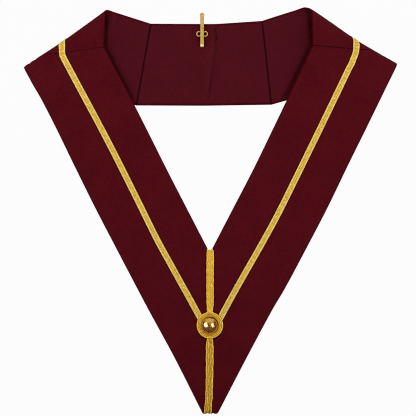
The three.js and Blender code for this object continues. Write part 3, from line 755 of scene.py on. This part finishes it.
def gilt_cord(name, light, dark, flank_shade):
    """Twisted gilt cord, with painted shade: the grooves between its strands are darker, from the strand
    number that the piece carries, its flanks take a dark shade colour, and the whole is scaled by the
    cord's tone, a painted light or shade for each cord.
    Fine grain."""
    f = Finish(name, Roughness=0.5, Metallic=0.08, Specular_IOR_Level=0.1)
    uv = f.flat()[0]
    grain = f.noise(f.stretched(uv, (1.0, 0.5, 1.0)), 1300, 2.0)
    patch = f.noise(f.place(), 420, 1.0)
    ply = f.mix_colour((f.attribute("strand") * 0.8 + (grain - 0.5) * 1.0
                        + (patch - 0.5) * 1.0).clamped(), dark, light)
    tone = f.attribute("tone")
    # Painted light and shade: the cord's crown is lit by its tone, and its flanks turn to the dark shade
    # colour.
    bright = (f.attribute("crown").step(0.1, 0.9) * (tone * 0.7 + 0.3)).clamped()
    f.set(Base_Color=f.scaled(f.mix_colour(bright, flank_shade, ply), tone * 0.35 + 0.7))
    f.bump(grain, 0.0002, 0.5)
    return f.material


def polished_gilt(name, colour, roughness, metallic, dent, highlight_y=None):
    """Gilt metal with faint polishing marks, and dents as wide as some millimetres. Where a height y is
    given in metres, a painted highlight lightens it round that height, and its flanks are darkened as
    painted shade."""
    f = Finish(name, Metallic=metallic, Specular_IOR_Level=0.5 * metallic)
    place = f.place()
    marks = f.noise(place, 900, 3.0, 0.6)
    tone = f.scaled(colour, 0.8 + marks * 0.4)
    if highlight_y is not None:
        # Painted shade on the flanks and a painted highlight round the given height.
        tone = f.scaled(tone, f.attribute("crown").step(0.15, 0.9) * 0.2 + 0.8)
        near = 1 - (f.split(place)[1] - highlight_y).abs().step(0.0007, 0.0016)
        tone = f.mix_colour(near, tone, linear(255, 242, 160))
    f.set(Base_Color=tone, Roughness=roughness + (marks - 0.5) * 0.08)
    f.bump(f.noise(place, 230, 1.0), dent, 1.0)
    return f.material


CRIMSON = linear(80, 13, 22)
CRIMSON_RIM_SHADE = linear(70, 4, 13)
CLOTHS = {
    "crimson_cloth": woven_cloth("crimson cloth", CRIMSON, CRIMSON_RIM_SHADE, 0.55, 0.6),
    "lining_cloth": woven_cloth("crimson lining", linear(78, 17, 26), CRIMSON_RIM_SHADE, 0.35, 0.36),
}
lace_finish = woven_lace("gilt lace")
cord_finish = gilt_cord("gilt cord", linear(255, 214, 76), linear(220, 158, 38), linear(134, 74, 18))
button_finish = polished_gilt("polished gilt", linear(226, 180, 92), 0.13, 1.0, 0.0005)
# Near-black thread for the hook's stitches; its darkness also paints the shade in the eyes' holes.
thread_and_shade_finish = gilt_cord("dark thread", linear(20, 4, 7), linear(8, 1, 2), linear(5, 0, 1))


def shoelace(flat):
    """Area inside a grid's border in square metres, by the shoelace sum."""
    ring = np.concatenate([flat[0], flat[1:, -1], flat[-1, -2::-1], flat[-2:0:-1, 0]])
    x, y = ring[:, 0], ring[:, 1]
    return abs(np.dot(x, np.roll(y, -1)) - np.dot(y, np.roll(x, -1))) / 2 * MM * MM


def span(flat, side):
    """Width and length of the cut in metres, along and across the band's own directions."""
    turned = flat.reshape(-1, 2) @ np.array(
        [[np.sin(side.lean), np.cos(side.lean)], [np.cos(side.lean), -np.sin(side.lean)]])
    return sorted(float(v) * MM for v in np.ptp(turned, axis=0))


def lace_controls(side):
    """Control points of a lace's middle line on the opened cloth: up the front, round the turn
    at the shoulder seam, over the fold and to the middle of the back seam."""
    up_front = side.lace_line(np.linspace(
        -ROSETTE_DROP * np.cos(side.lean), side.front - side.lace_setback, 10))
    turn_point = side.lace_line(np.float64(side.front + side.lace_run))
    over_fold = turn_point + side.lace_over * np.array(
        [np.sin(side.lace_lean), np.cos(side.lace_lean)])
    seam_middle = (side.back_neck + side.back_hem) / 2
    return np.concatenate([up_front, [turn_point, over_fold, (over_fold + seam_middle) / 2,
                                      seam_middle]])


def even_path(controls, step):
    """Catmull-Rom curve through control points, resampled at even arc lengths. Returns its
    points, tangents and arc lengths."""
    ends = np.concatenate([[2 * controls[0] - controls[1]], controls,
                           [2 * controls[-1] - controls[-2]]])
    t = np.linspace(0, len(controls) - 1, 60 * len(controls), endpoint=True)
    i = np.minimum(t.astype(int), len(controls) - 2)
    u = (t - i)[:, None]
    p0, p1, p2, p3 = ends[i], ends[i + 1], ends[i + 2], ends[i + 3]
    curve = 0.5 * (2 * p1 + (p2 - p0) * u + (2 * p0 - 5 * p1 + 4 * p2 - p3) * u ** 2
                   + (3 * p1 - p0 - 3 * p2 + p3) * u ** 3)
    length = np.concatenate([[0], np.cumsum(np.linalg.norm(np.diff(curve, axis=0), axis=1))])
    at = np.linspace(0, length[-1], int(np.ceil(length[-1] / step)) + 1)
    points = stacked(*(np.interp(at, length, curve[:, k]) for k in range(curve.shape[1])))
    return points, unit(np.gradient(points, at, axis=0)), at


BRAIDS = {
    "braid_upper": (BRAID_UP, ROSETTE_DROP - TUCKED, -BRAID_OVERLAP),
    "braid_lower": (BRAID_DOWN, ROSETTE_DROP + TUCKED, POINT_DROP - BRAID_END),
}


def braid_edges(table, share):
    """Middle and width of a braid at shares of its length."""
    return BRAID_WIDTH * follow(table, 1, share), BRAID_WIDTH * follow(table, 2, share)


def trimming_gap(side, flat):
    """Distance of each point of the opened cloth to the nearest edge of lace, braid or rosette,
    negative beneath it: the least of the distances to their middle lines less half a width."""
    line = even_path(lace_controls(side), PATH_STEP)[0]
    gap = np.linalg.norm(flat[..., None, :] - line, axis=-1).min(axis=-1) - LACE_WIDTH / 2
    gap = np.minimum(gap, np.linalg.norm(flat - [0, -ROSETTE_DROP], axis=-1) - ROSETTE_RADIUS)
    for table, start, end in BRAIDS.values():
        share = (-flat[..., 1] - start) / (end - start)
        middle, width = braid_edges(table, np.clip(share, 0, 1))
        past = np.maximum(np.abs(share - 0.5) - 0.5, 0) * abs(end - start)
        gap = np.minimum(gap, np.abs(side.sign * flat[..., 0] - middle) - width / 2 + past)
    return gap


# The right front's second, faint seam line, a darker line painted in the colour only, with no valley in the
# cloth:
# its distance from the seam, how much fainter it is, and where and how fast it dies away from the neck edge
SECOND_SEAM, SECOND_LIFT, SECOND_RUN, SECOND_FADE = 3.6, 0.75, 8, 0.2


def front_seam(side, gap):
    """Distance to a front's seams, which sets their painted seam shade, raised where they show less."""
    seam = gap[1] + side.seam_lift
    if side is RIGHT:
        fade = np.maximum(gap[0] - SECOND_RUN, 0) * SECOND_FADE
        seam = np.minimum(seam, np.abs(gap[1] - SECOND_SEAM) + SECOND_LIFT + fade)
    return seam


def sewn(name, flat, shell, size, slot):
    """A cloth piece that stands for the CAD node of its name."""
    points, quads, uv, values = shell
    piece = add_piece(name + "_cloth", points, quads, CLOTHS[slot], [name], uv, values)
    shoelace(flat)


def outer_cloth(side, flat, gap, low, seam):
    """Shell of the crimson cloth, with the shading beside its trimmings, fold and seams."""
    return cloth(flat, gap, side.wrap, low, SHELL, trim=trimming_gap(side, flat),
                 fold=side.fold_gap(flat), seam=seam)


for side in SIDES:
    name = side.name
    flat, gap = front_grid(side)
    sewn(f"front_panel_{name}", flat,
         outer_cloth(side, flat, gap, -FRONT_UNDER, front_seam(side, gap)),
         span(flat, side), "crimson_cloth")
    flat, gap = shoulder_grid(side, 0)
    flat = tucked_in(side, flat)
    sewn(f"shoulder_panel_{name}", flat, outer_cloth(side, flat, gap, 0, gap[1] + side.seam_lift),
         span(flat, side), "crimson_cloth")
    flat, gap = shoulder_grid(side, LINING_INSET)
    sewn(f"shoulder_lining_{name}", flat,
         cloth(flat, gap, side.wrap, -SEAT - LINING, -SEAT, marks=True),
         span(flat, side), "lining_cloth")

for name, inset, low, high, slot, rests_on in (
        ("back_panel", 0, 0, SHELL, "crimson_cloth", "back_lace"),
        ("back_lining", LINING_INSET, -SEAT - LINING, -SEAT, "lining_cloth", "back_panel")):
    flat, gap = back_grid(inset)
    sewn(name, flat, cloth(flat, gap, on_back, low, high, marks=True),
         sorted(np.ptp(flat.reshape(-1, 2), axis=0) * MM), slot)


def lace_strip(centre, tangent, at, place, rosette=None):
    """Strip of lace along a path of the opened cloth: across it, the heights swell at both
    selvedges and meet at the rims. Where it starts at the rosette, whose middle is given, each
    thread starts on the rosette's circle."""
    offsets = (spread_shares(LACE_WIDTH, 0.5) - 0.5) * LACE_WIDTH
    normal = stacked(tangent[:, 1], -tangent[:, 0])
    flat = centre[:, None] + offsets[None, :, None] * normal[:, None]
    if rosette is not None:
        away = flat[0] - rosette
        ahead = away @ tangent[0]
        beside = np.linalg.norm(away - ahead[:, None] * tangent[0], axis=1)
        lead = np.sqrt(np.maximum(TUCKED ** 2 - beside ** 2, 0)) - ahead
        fade = np.clip(1 - at / (8 + np.abs(lead).max()), 0, 1)
        flat = flat + (fade[:, None] * lead[None, :])[..., None] * tangent[:, None]
    rim = LACE_WIDTH / 2 - np.abs(offsets)
    puff = quarter_round(rim, LACE_RIM_ROUND)
    selvedge = bell(np.abs(offsets) - SELVEDGE_OUT, SELVEDGE_SPREAD)
    over = LACE_UNDER + LACE * mix(LACE_RIM, 0.62 + 0.38 * selvedge, puff)
    under = LACE_UNDER + LACE * mix(LACE_RIM, 0.0, puff)
    over, under = (np.broadcast_to(h, flat.shape[:2]).copy() for h in (over, under))
    for grid in (over, under):
        grid[[0, -1]] = LACE_UNDER + LACE * LACE_RIM
    uv = stacked(offsets[None, :], at[:, None])
    return slab(place(flat, over), place(flat, under), uv, {})


def pressed_on(side):
    """Placing of a side's lace, which is squeezed thin against the cloth at the fold."""
    def place(flat, height):
        thin = SHELL + PRESSED_CLEAR + (height - LACE_UNDER) * PRESSED_SHARE
        away = np.clip(side.fold_gap(flat) / PRESSED_REACH, 0, 1)
        return side.wrap(flat, mix(thin, height, away))

    return place


for side in SIDES:
    centre, tangent, at = even_path(lace_controls(side), PATH_STEP)
    middle = np.array([0, -ROSETTE_DROP])
    clear = np.linalg.norm(centre - middle, axis=1) > TUCKED
    points, quads, uv, values = lace_strip(centre[clear], tangent[clear], at[clear] - at[clear][0],
                                           pressed_on(side), middle)
    add_piece(f"side_lace_{side.name}_woven", points, quads, lace_finish,
              [f"side_lace_{side.name}"], uv, values)

across = np.linspace(-1, 1, 120)
centre = back_point(across, np.full(across.shape, 0.5))
tangent = unit(np.gradient(centre, axis=0))
at = np.concatenate([[0], np.cumsum(np.linalg.norm(np.diff(centre, axis=0), axis=1))])
points, quads, uv, values = lace_strip(centre, tangent, at, on_back)
add_piece("back_lace_woven", points, quads, lace_finish, ["back_lace"], uv, values)


def tube(path, radius, closed=False, strands=0, pitch=1.0, swell=0.0, sides=14, flatten=1.0,
         side_way=None, tone=1.0):
    """Tube along a path. Its section is an ellipse, flatten high for each unit of width, whose
    radius swells at each strand; the strands turn once round it in each pitch."""
    path = np.asarray(path, dtype=float)
    if closed:
        tangent = np.roll(path, -1, axis=0) - np.roll(path, 1, axis=0)
    else:
        tangent = np.gradient(path, axis=0)
    tangent = unit(tangent)
    if side_way is None:
        side_way = unit(np.cross(tangent, [0, 0, 1.0]))
    up = np.cross(side_way, tangent)
    steps = np.linalg.norm(np.diff(path, axis=0, append=path[:1] if closed else path[-1:]), axis=1)
    along = np.concatenate([[0], np.cumsum(steps)[:-1]])
    if closed:
        pitch = steps.sum() / max(round(steps.sum() / pitch), 1)
    turn = np.linspace(0, 2 * PI, sides, endpoint=False)
    crest = np.abs(np.cos((turn[None] - 2 * PI * along[:, None] / pitch) * max(strands, 1) / 2))
    if strands == 0:
        crest = np.ones_like(crest)
    reach = np.broadcast_to(radius, len(path))[:, None] * (1 - swell + swell * crest)
    points = (path[:, None] + side_way[:, None] * (reach * np.cos(turn))[..., None]
              + up[:, None] * (reach * flatten * np.sin(turn))[..., None])
    rows = len(path)
    index = np.arange(rows * sides).reshape(rows, sides)
    ahead = np.roll(index, -1, axis=0) if closed else index[1:]
    here = index if closed else index[:-1]
    quads = np.stack([here, ahead, np.roll(ahead, -1, axis=1), np.roll(here, -1, axis=1)],
                     axis=-1).reshape(-1, 4)
    points = points.reshape(-1, 3)
    uv = stacked(turn[None] * radius if np.isscalar(radius) else turn[None],
                 along[:, None]).reshape(-1, 2)
    crest = crest.reshape(-1)
    crown = np.broadcast_to(np.clip(np.sin(turn), 0, 1), (rows, sides)).reshape(-1)
    if not closed:
        half = sides // 2
        caps = []
        for row, flip in ((0, False), (rows - 1, True)):
            ring = index[row]
            for k in range(half - 1):
                quad = [ring[k], ring[k + 1], ring[sides - 2 - k], ring[sides - 1 - k]]
                caps.append(quad[::-1] if flip else quad)
        quads = np.concatenate([quads, np.array(caps)])
    return points, quads, uv, {"strand": crest, "crown": crown, "tone": np.full(len(crest), tone)}


# Plait: length of a strand's wave, half widths of strands and edge cords, margins of the strands'
# middles and of the core, and how far the edge cords rise past the strip's last twentieth
PLAIT, STRAND, EDGE_CORD = 19, 1.15, 0.72
STRAND_MARGIN, CORE_MARGIN, EDGE_RISE = 2.0, 0.8, 1.3
LAID_TONES = (1.25, 0.5, 1.0, 0.4, 0.9, 0.45, 0.8, 1.15)


def plaited(table, start, end):
    """Flat plait of four strands between two edge cords, over a flat core. The strands swing
    across in sine waves a quarter apart and pass over and under each other in waves of half the
    length."""
    length = abs(end - start)
    share = np.linspace(0, 1, int(length / 0.5) + 1)
    (middle, width), y = braid_edges(table, share), -mix(start, end, share)
    parts = []
    for k in range(4):
        phase = 2 * PI * (share * length / PLAIT + k / 4)
        path = stacked(middle + (width / 2 - STRAND_MARGIN) * np.sin(phase), y,
                       ON_FRONT + BRAID * 0.55 + 0.3 * np.sin(2 * phase + PI * (k % 2)))
        parts.append(tube(path, np.full(share.shape, STRAND), strands=3, pitch=3.5, swell=0.08,
                          sides=16, flatten=0.45, tone=0.86 - 0.12 * (k % 2)))
    core = stacked(middle, y, ON_FRONT + BRAID * 0.5)
    # The core under the strands has a low tone: painted shade.
    parts.append(tube(core, width / 2 - CORE_MARGIN, sides=16, flatten=0.14, tone=0.6))
    at_top = np.clip(share * 20 - 19, 0, 1)
    for sign in (-1, 1):
        bulge = 0.12 * np.sin(2 * PI * share * length / (PLAIT / 2) + sign)
        path = stacked(middle + sign * (width / 2 - EDGE_CORD + bulge), y + EDGE_RISE * at_top,
                       ON_FRONT + BRAID * 0.55)
        parts.append(tube(path, np.full(share.shape, EDGE_CORD), strands=2, pitch=2.4 * sign,
                          swell=0.12, sides=16, tone=1.25))
    return joined(parts)


def laid_cords(table, start, end):
    """Side-by-side cords across the table's width. Towards the free end they thin and part."""
    length = abs(end - start)
    share = np.linspace(0, 1, int(length / 0.6) + 1)
    (middle, width), y = braid_edges(table, share), -mix(start, end, share)
    fray = np.clip((share - 0.86) / 0.14, 0, 1)
    parts = []
    for k, tone in enumerate(LAID_TONES):
        x = middle + width * ((k + 0.5) / len(LAID_TONES) - 0.5) + 0.15 * np.sin(share * 40 + 2 * k)
        height = ON_FRONT + BRAID * 0.5 + 0.25 * np.sin(2 * PI * share * 3 + k * 2.4)
        parts.append(tube(stacked(x, y, height), width / len(LAID_TONES) * (0.58 - 0.22 * fray),
                          strands=2, pitch=7.0 + k, swell=0.1, flatten=0.7, tone=tone))
    return joined(parts)


BRAID_MAKERS = {"braid_upper": plaited, "braid_lower": laid_cords}
for name, (table, start, end) in BRAIDS.items():
    points, quads, uv, values = BRAID_MAKERS[name](table, start, end)
    add_piece(f"{name}_cords", points, quads, cord_finish, [name], uv, values)

# Radius of each winding's middle and of its cord, height above the cloth, and tone, which is painted shade:
# the inner windings and the one under the others are darker, as in shade.
# The first two end in loops above the rosette, and the last lies under the others.
WINDINGS = [
    (15.25, 1.0, 1.2, 1.05),
    (13.4, 0.8, 1.5, 0.9),
    (11.95, 0.68, 1.7, 0.66),
    (10.9, 0.5, 1.7, 0.34),
    (13.6, 1.0, 0.5, 0.7),
]
LOOPED = 2
# Half angle of a loop's opening, and its end: x, distance out from the winding, height above it
LOOP_OPEN = 0.34
LOOP_END = np.array([[-2.4, 4.6, 0], [-1.5, 3.0, 0.3], [0, 1.7, 0.5], [2.3, 0.55, 0.1]])


def looped(radius, height):
    """Circle round the button whose two ends run up to the braid and change sides above the
    rosette."""
    around = np.linspace(LOOP_OPEN, 2 * PI - LOOP_OPEN, 61)
    ring = stacked(radius * np.sin(around), radius * np.cos(around), height)
    ends = LOOP_END + [0, radius, height]
    other = ends[::-1] * [-1, 1, 1] - [0, 0, 0.3]
    return even_path(np.concatenate([ends, ring, other]), 0.5)[0] - [0, ROSETTE_DROP, -ON_FRONT]


def circle(radius, height):
    """Points of a circle round the button, half a millimetre apart."""
    around = np.linspace(0, 2 * PI, int(4 * PI * radius), endpoint=False)
    return stacked(radius * np.sin(around), radius * np.cos(around) - ROSETTE_DROP,
                   height + ON_FRONT)


parts = []
for k, (radius, thick, height, tone) in enumerate(WINDINGS):
    path = looped(radius, height) if k < LOOPED else circle(radius, height)
    parts.append(tube(path, thick, closed=k >= LOOPED, strands=3, pitch=5.0, swell=0.12, sides=18,
                      tone=tone))
points, quads, uv, values = joined(parts)
add_piece("rosette_cords", points, quads, cord_finish, ["rosette"], uv, values)


def ring_faces(index):
    """Faces between neighbouring closed rings of points."""
    beside = np.roll(index, -1, axis=1)
    return np.stack([index[:-1], beside[:-1], beside[1:], index[1:]], axis=-1).reshape(-1, 4)


def turned(profile, sides):
    """Surface turned about the button's axis from a profile of radii and heights, whose first
    and last radii are nought."""
    turn = np.linspace(0, 2 * PI, sides, endpoint=False)
    radius, height = profile[:, 0], profile[:, 1]
    points = stacked(radius[:, None] * np.cos(turn), radius[:, None] * np.sin(turn) - ROSETTE_DROP,
                     height[:, None] + ON_FRONT)
    return points.reshape(-1, 3), ring_faces(
        np.arange(len(radius) * sides).reshape(len(radius), sides))


# The button sits a little left of the windings' middle and towards the point
BUTTON_SHIFT = np.array([-0.45, -0.45, 0])
turns = np.linspace(0, PI / 2, 40)
dome = stacked(BUTTON_RADIUS * np.cos(turns),
               BUTTON_SKIRT + (BUTTON_HEIGHT - BUTTON_SKIRT) * np.sin(turns))
dome[-1, 0] = 0.01
profile = np.concatenate([[[0.01, 0], [BUTTON_RADIUS - 0.5, 0], [BUTTON_RADIUS - 0.12, 0.12],
                           [BUTTON_RADIUS, 0.5]], dome])
points, quads = turned(profile, 120)
points += BUTTON_SHIFT
add_piece("button_shell", points, quads, button_finish, ["button"])


def hook_path():
    """The bent wire's centre line: sewing eye, back, bend, bill and hairpin, and the same way
    back on the other side."""
    seat = LOW_LEVEL + SEAT + LINING + SEAT + WIRE / 2
    half = (WIRE + WIRE_GAP) / 2
    neck_y = back_point(np.array((HOOK_X - NECK_CREASE[0]) / (NECK_CREASE[0] - NECK_ENDS[0][0])),
                        np.array(0.0))[1]
    centre = np.array([HOOK_X, neck_y - HOOK_BELOW_NECK, seat])
    turn = np.radians(EYE_TURNS)
    eye = stacked(-EYE_OUT + EYE_RADIUS * np.cos(turn),
                  (EYE_RADIUS + EYE_STRETCH) * np.sin(turn), 0)
    bend = HOOK_DEPTH / 2
    down = -HOOK_DOWN + bend
    shaft = np.array([
        [-half, -EYE_RADIUS - WIRE, 0], [-half, down * 0.7, 0], [-half, down, 0],
        [-half, down - bend * 0.7, bend * 0.3], [-half, down - bend, bend],
        [-half, down - bend * 0.7, bend * 1.7], [-half, down, HOOK_DEPTH], [-half, 0, HOOK_DEPTH],
        [-half, HOOK_UP * 0.72, HOOK_DEPTH]])
    turn = np.radians([180, 135])
    pin = half + HOOK_SLOT
    bend_end = stacked(pin * np.cos(turn), HOOK_UP + pin * (np.sin(turn) - 1), HOOK_DEPTH)
    half_way = np.concatenate([eye, shaft, bend_end])
    other = (half_way * [-1, 1, 1])[::-1]
    return np.concatenate([half_way, [[0, HOOK_UP, HOOK_DEPTH]], other]) + centre


def carried_sides(path):
    """Side directions carried along a path without twist: each is the last one with its part
    along the new tangent taken off."""
    tangent = unit(np.gradient(path, axis=0))
    way = np.cross(tangent[0], [0, 0, 1.0])
    ways = []
    for t in tangent:
        way = way - t * way.dot(t)
        way = way / np.linalg.norm(way)
        ways.append(way)
    return np.array(ways)


wire_path, _, at = even_path(hook_path(), 0.4)
# The wire's bend gets a painted highlight, and its flanks painted shade.
bend_highlight_y = (wire_path[:, 1].min() + SHIFT[1] + 1.0) * MM
wire_finish = polished_gilt("gilt wire", linear(218, 180, 94), 0.42, 0.2, 0.0002, bend_highlight_y)
near_end = np.minimum(at, at[-1] - at)
thickness = mix(WIRE / 2 - EYES_LESS, WIRE / 2 + SHAFT_MORE,
                np.clip((near_end - EYES_RUN) / SWELL_RUN, 0, 1))
thickness = thickness - BEND_LESS * bell(wire_path[:, 1] - wire_path[:, 1].min(), BEND_SPREAD)
points, quads, uv, values = tube(wire_path, thickness, sides=16, side_way=carried_sides(wire_path))
add_piece("jewel_hook_wire", points, quads, wire_finish, ["jewel_hook"], uv, values)

# Stitches that hold the hook, near black as thread and as painted shade in the eyes' holes: place from its
# middle, half width and half length
STITCHES = [(-4.1, 0.1, 1.4, 1.7), (4.0, -0.1, 1.3, 1.6), (-3.0, 10.4, 0.8, 1.1),
            (3.0, 10.4, 0.7, 0.9), (-2.3, -7.9, 0.7, 0.9)]
STITCH_HEIGHT, STITCH_LIFT = 0.55, 0.2


def knot(centre, wide, long, high, rows=9, sides=16):
    """Ellipsoid from a polar grid, closed by strips across its two end rings."""
    turn = np.linspace(0, 2 * PI, sides, endpoint=False)
    rise = np.linspace(-PI / 2 + 0.02, PI / 2 - 0.02, rows)[:, None]
    points = centre + stacked(wide * np.cos(rise) * np.cos(turn),
                              long * np.cos(rise) * np.sin(turn), high * np.sin(rise))
    index = np.arange(rows * sides).reshape(rows, sides)
    ends = [[row[k], row[k + 1], row[sides - 2 - k], row[sides - 1 - k]][::way]
            for row, way in ((index[0], -1), (index[-1], 1)) for k in range(sides // 2 - 1)]
    number = np.ones(rows * sides)
    points = points.reshape(-1, 3)
    return points, np.concatenate([ring_faces(index), ends]), points[:, :2], \
        {"strand": number, "crown": number, "tone": number}


stitch_y = wire_path[-1, 1] - (EYE_RADIUS + EYE_STRETCH) * np.sin(np.radians(EYE_TURNS[0]))
lining_top = LOW_LEVEL + SEAT + LINING
points, quads, uv, values = joined([
    knot(np.array([HOOK_X + x, stitch_y + y, lining_top + STITCH_LIFT]), wide, long, STITCH_HEIGHT)
    for x, y, wide, long in STITCHES])
add_piece("jewel_hook_stitches", points, quads, thread_and_shade_finish, [], uv, values)


def plain(name, shade, glow):
    """Even matt surface that glows."""
    f = Finish(name, Roughness=0.9, Specular_IOR_Level=0.0, Base_Color=(shade, shade, shade),
               Emission_Color=(1, 1, 1), Emission_Strength=glow)
    return f.material


def board(name, corners, finish):
    """Flat four-cornered part of the stage."""
    mesh = bpy.data.meshes.new(name)
    mesh.from_pydata(corners, [], [(0, 1, 2, 3)])
    mesh.materials.append(finish)
    made = bpy.data.objects.new(name, mesh)
    bpy.context.scene.collection.objects.link(made)
    return made


CORNERS = [(-1, -1), (1, -1), (1, 1), (-1, 1)]
FLOOR_HALF, FLOOR_SHADE, FLOOR_GLOW = 4, 0.02, 0.958
FLAG_HALF, FLAG_Y, FLAG_FOOT, FLAG_TOP = 0.5, -0.262, 0.002, 0.42
floor = board("floor", [(x * FLOOR_HALF, y * FLOOR_HALF, 0) for x, y in CORNERS],
              plain("floor", FLOOR_SHADE, FLOOR_GLOW))
floor.visible_diffuse = False
flag = board("flag", [(x * FLAG_HALF, FLAG_Y, FLAG_FOOT if y < 0 else FLAG_TOP) for x, y in CORNERS],
             plain("flag", 0.0, 0.0))
flag.visible_camera = flag.visible_glossy = False


def soft_light(name, place, aim, size, watts):
    """Rectangular area light at a place, turned towards a point."""
    data = bpy.data.lights.new(name, "AREA")
    data.shape, data.energy = "RECTANGLE", watts
    data.size, data.size_y = size
    lamp = bpy.data.objects.new(name, data)
    lamp.location = place
    lamp.rotation_euler = (Vector(aim) - Vector(place)).to_track_quat("-Z", "Y").to_euler()
    lamp.visible_camera = False
    bpy.context.scene.collection.objects.link(lamp)


BUTTON = (float(SHIFT[0]) * MM, (float(SHIFT[1]) - ROSETTE_DROP) * MM, 0)
LAMPS = [(-0.8, 0.14, 1.3), (0.64, 0.06, 1.3)]
LAMP_SIZE, LAMP_WATTS = (0.32, 0.34), 3.8
for name, away in zip(("softbox left", "softbox right"), LAMPS):
    soft_light(name, (BUTTON[0] + away[0], BUTTON[1] + away[1], away[2]), BUTTON, LAMP_SIZE,
               LAMP_WATTS)

# Tones of the surroundings: the room and its specks, the wall, the glow round a lamp and the lamp
# itself, what falls on the cloth, and what is seen straight. The glow and the lamp fill a cone
# between two cosines, a little towards the point from the lamp.
ROOM, SPECKS, WALL = (0.012, 0.006, 0.015), (0.5, 0.3, 0.3), (0.72, 0.72, 0.72)
GLOW, GLOW_CONE = (1.7, 1.5, 1.2), (0.93, 0.995)
CORE, CORE_CONE = (6.0, 6.0, 6.5), (0.966, 0.98)
FILL, BACKDROP = (0.8, 0.8, 0.8), (0.972, 0.972, 0.972)
AIM_SHIFT = (0, -0.08, 0)


def studio():
    """Surroundings: plain white seen straight, an even glow on cloth, and in reflections a
    bright wall beyond the neck end, a glow round each lamp and a dark, speckled room beyond the
    point."""
    made = bpy.data.worlds.new("studio")
    made.use_nodes = True
    f = Nodes(made.node_tree)
    way = f.place("Generated")
    x, y = f.split(way)[:2]
    ripple = f.noise(way, 5.0, 2.0)
    wall = (y + (ripple - 0.5) * 0.5).step(0.28, 0.46) \
        * (1 - (x.abs() + (ripple - 0.5) * 0.6).step(0.55, 0.8))
    speck = f.noise(way, 13.0, 3.0).step(0.48, 0.6)
    room = f.mix_colour(speck, ROOM, SPECKS)
    tone = f.mix_colour(wall, room, WALL)
    for lamp in LAMPS:
        aim = Vector(lamp) + Vector(AIM_SHIFT)
        near = f.add("ShaderNodeVectorMath", {"operation": "DOT_PRODUCT"},
                     [way, tuple(aim.normalized())])["Value"]
        tone = f.mix_colour(near.step(*GLOW_CONE), tone, GLOW)
        tone = f.mix_colour(near.step(*CORE_CONE), tone, CORE)
    rays = f.add("ShaderNodeLightPath", {}, {})
    cast = f.mix_colour(rays["Is Glossy Ray"], FILL, tone)
    seen = f.mix_colour(rays["Is Camera Ray"], cast, BACKDROP)
    f.feed(f.tree.nodes["Background"].inputs["Color"], seen)
    return made


bpy.context.scene.world = studio()

SENSOR, CAMERA_HEIGHT, VIEW_WIDTH = 36, 2.5, 0.50752
camera_data = bpy.data.cameras.new("camera")
camera_data.sensor_width = SENSOR
camera_data.lens = SENSOR * CAMERA_HEIGHT / VIEW_WIDTH
camera_data.clip_end = 50
camera = bpy.data.objects.new("camera", camera_data)
camera.location = (-0.002874, 0.00348, CAMERA_HEIGHT)
bpy.context.scene.collection.objects.link(camera)
bpy.context.scene.camera = camera
bpy.context.scene.view_settings.view_transform = "Standard"
bpy.context.scene.view_settings.look = "None"
bpy.context.scene.cycles.filter_width = 1.1
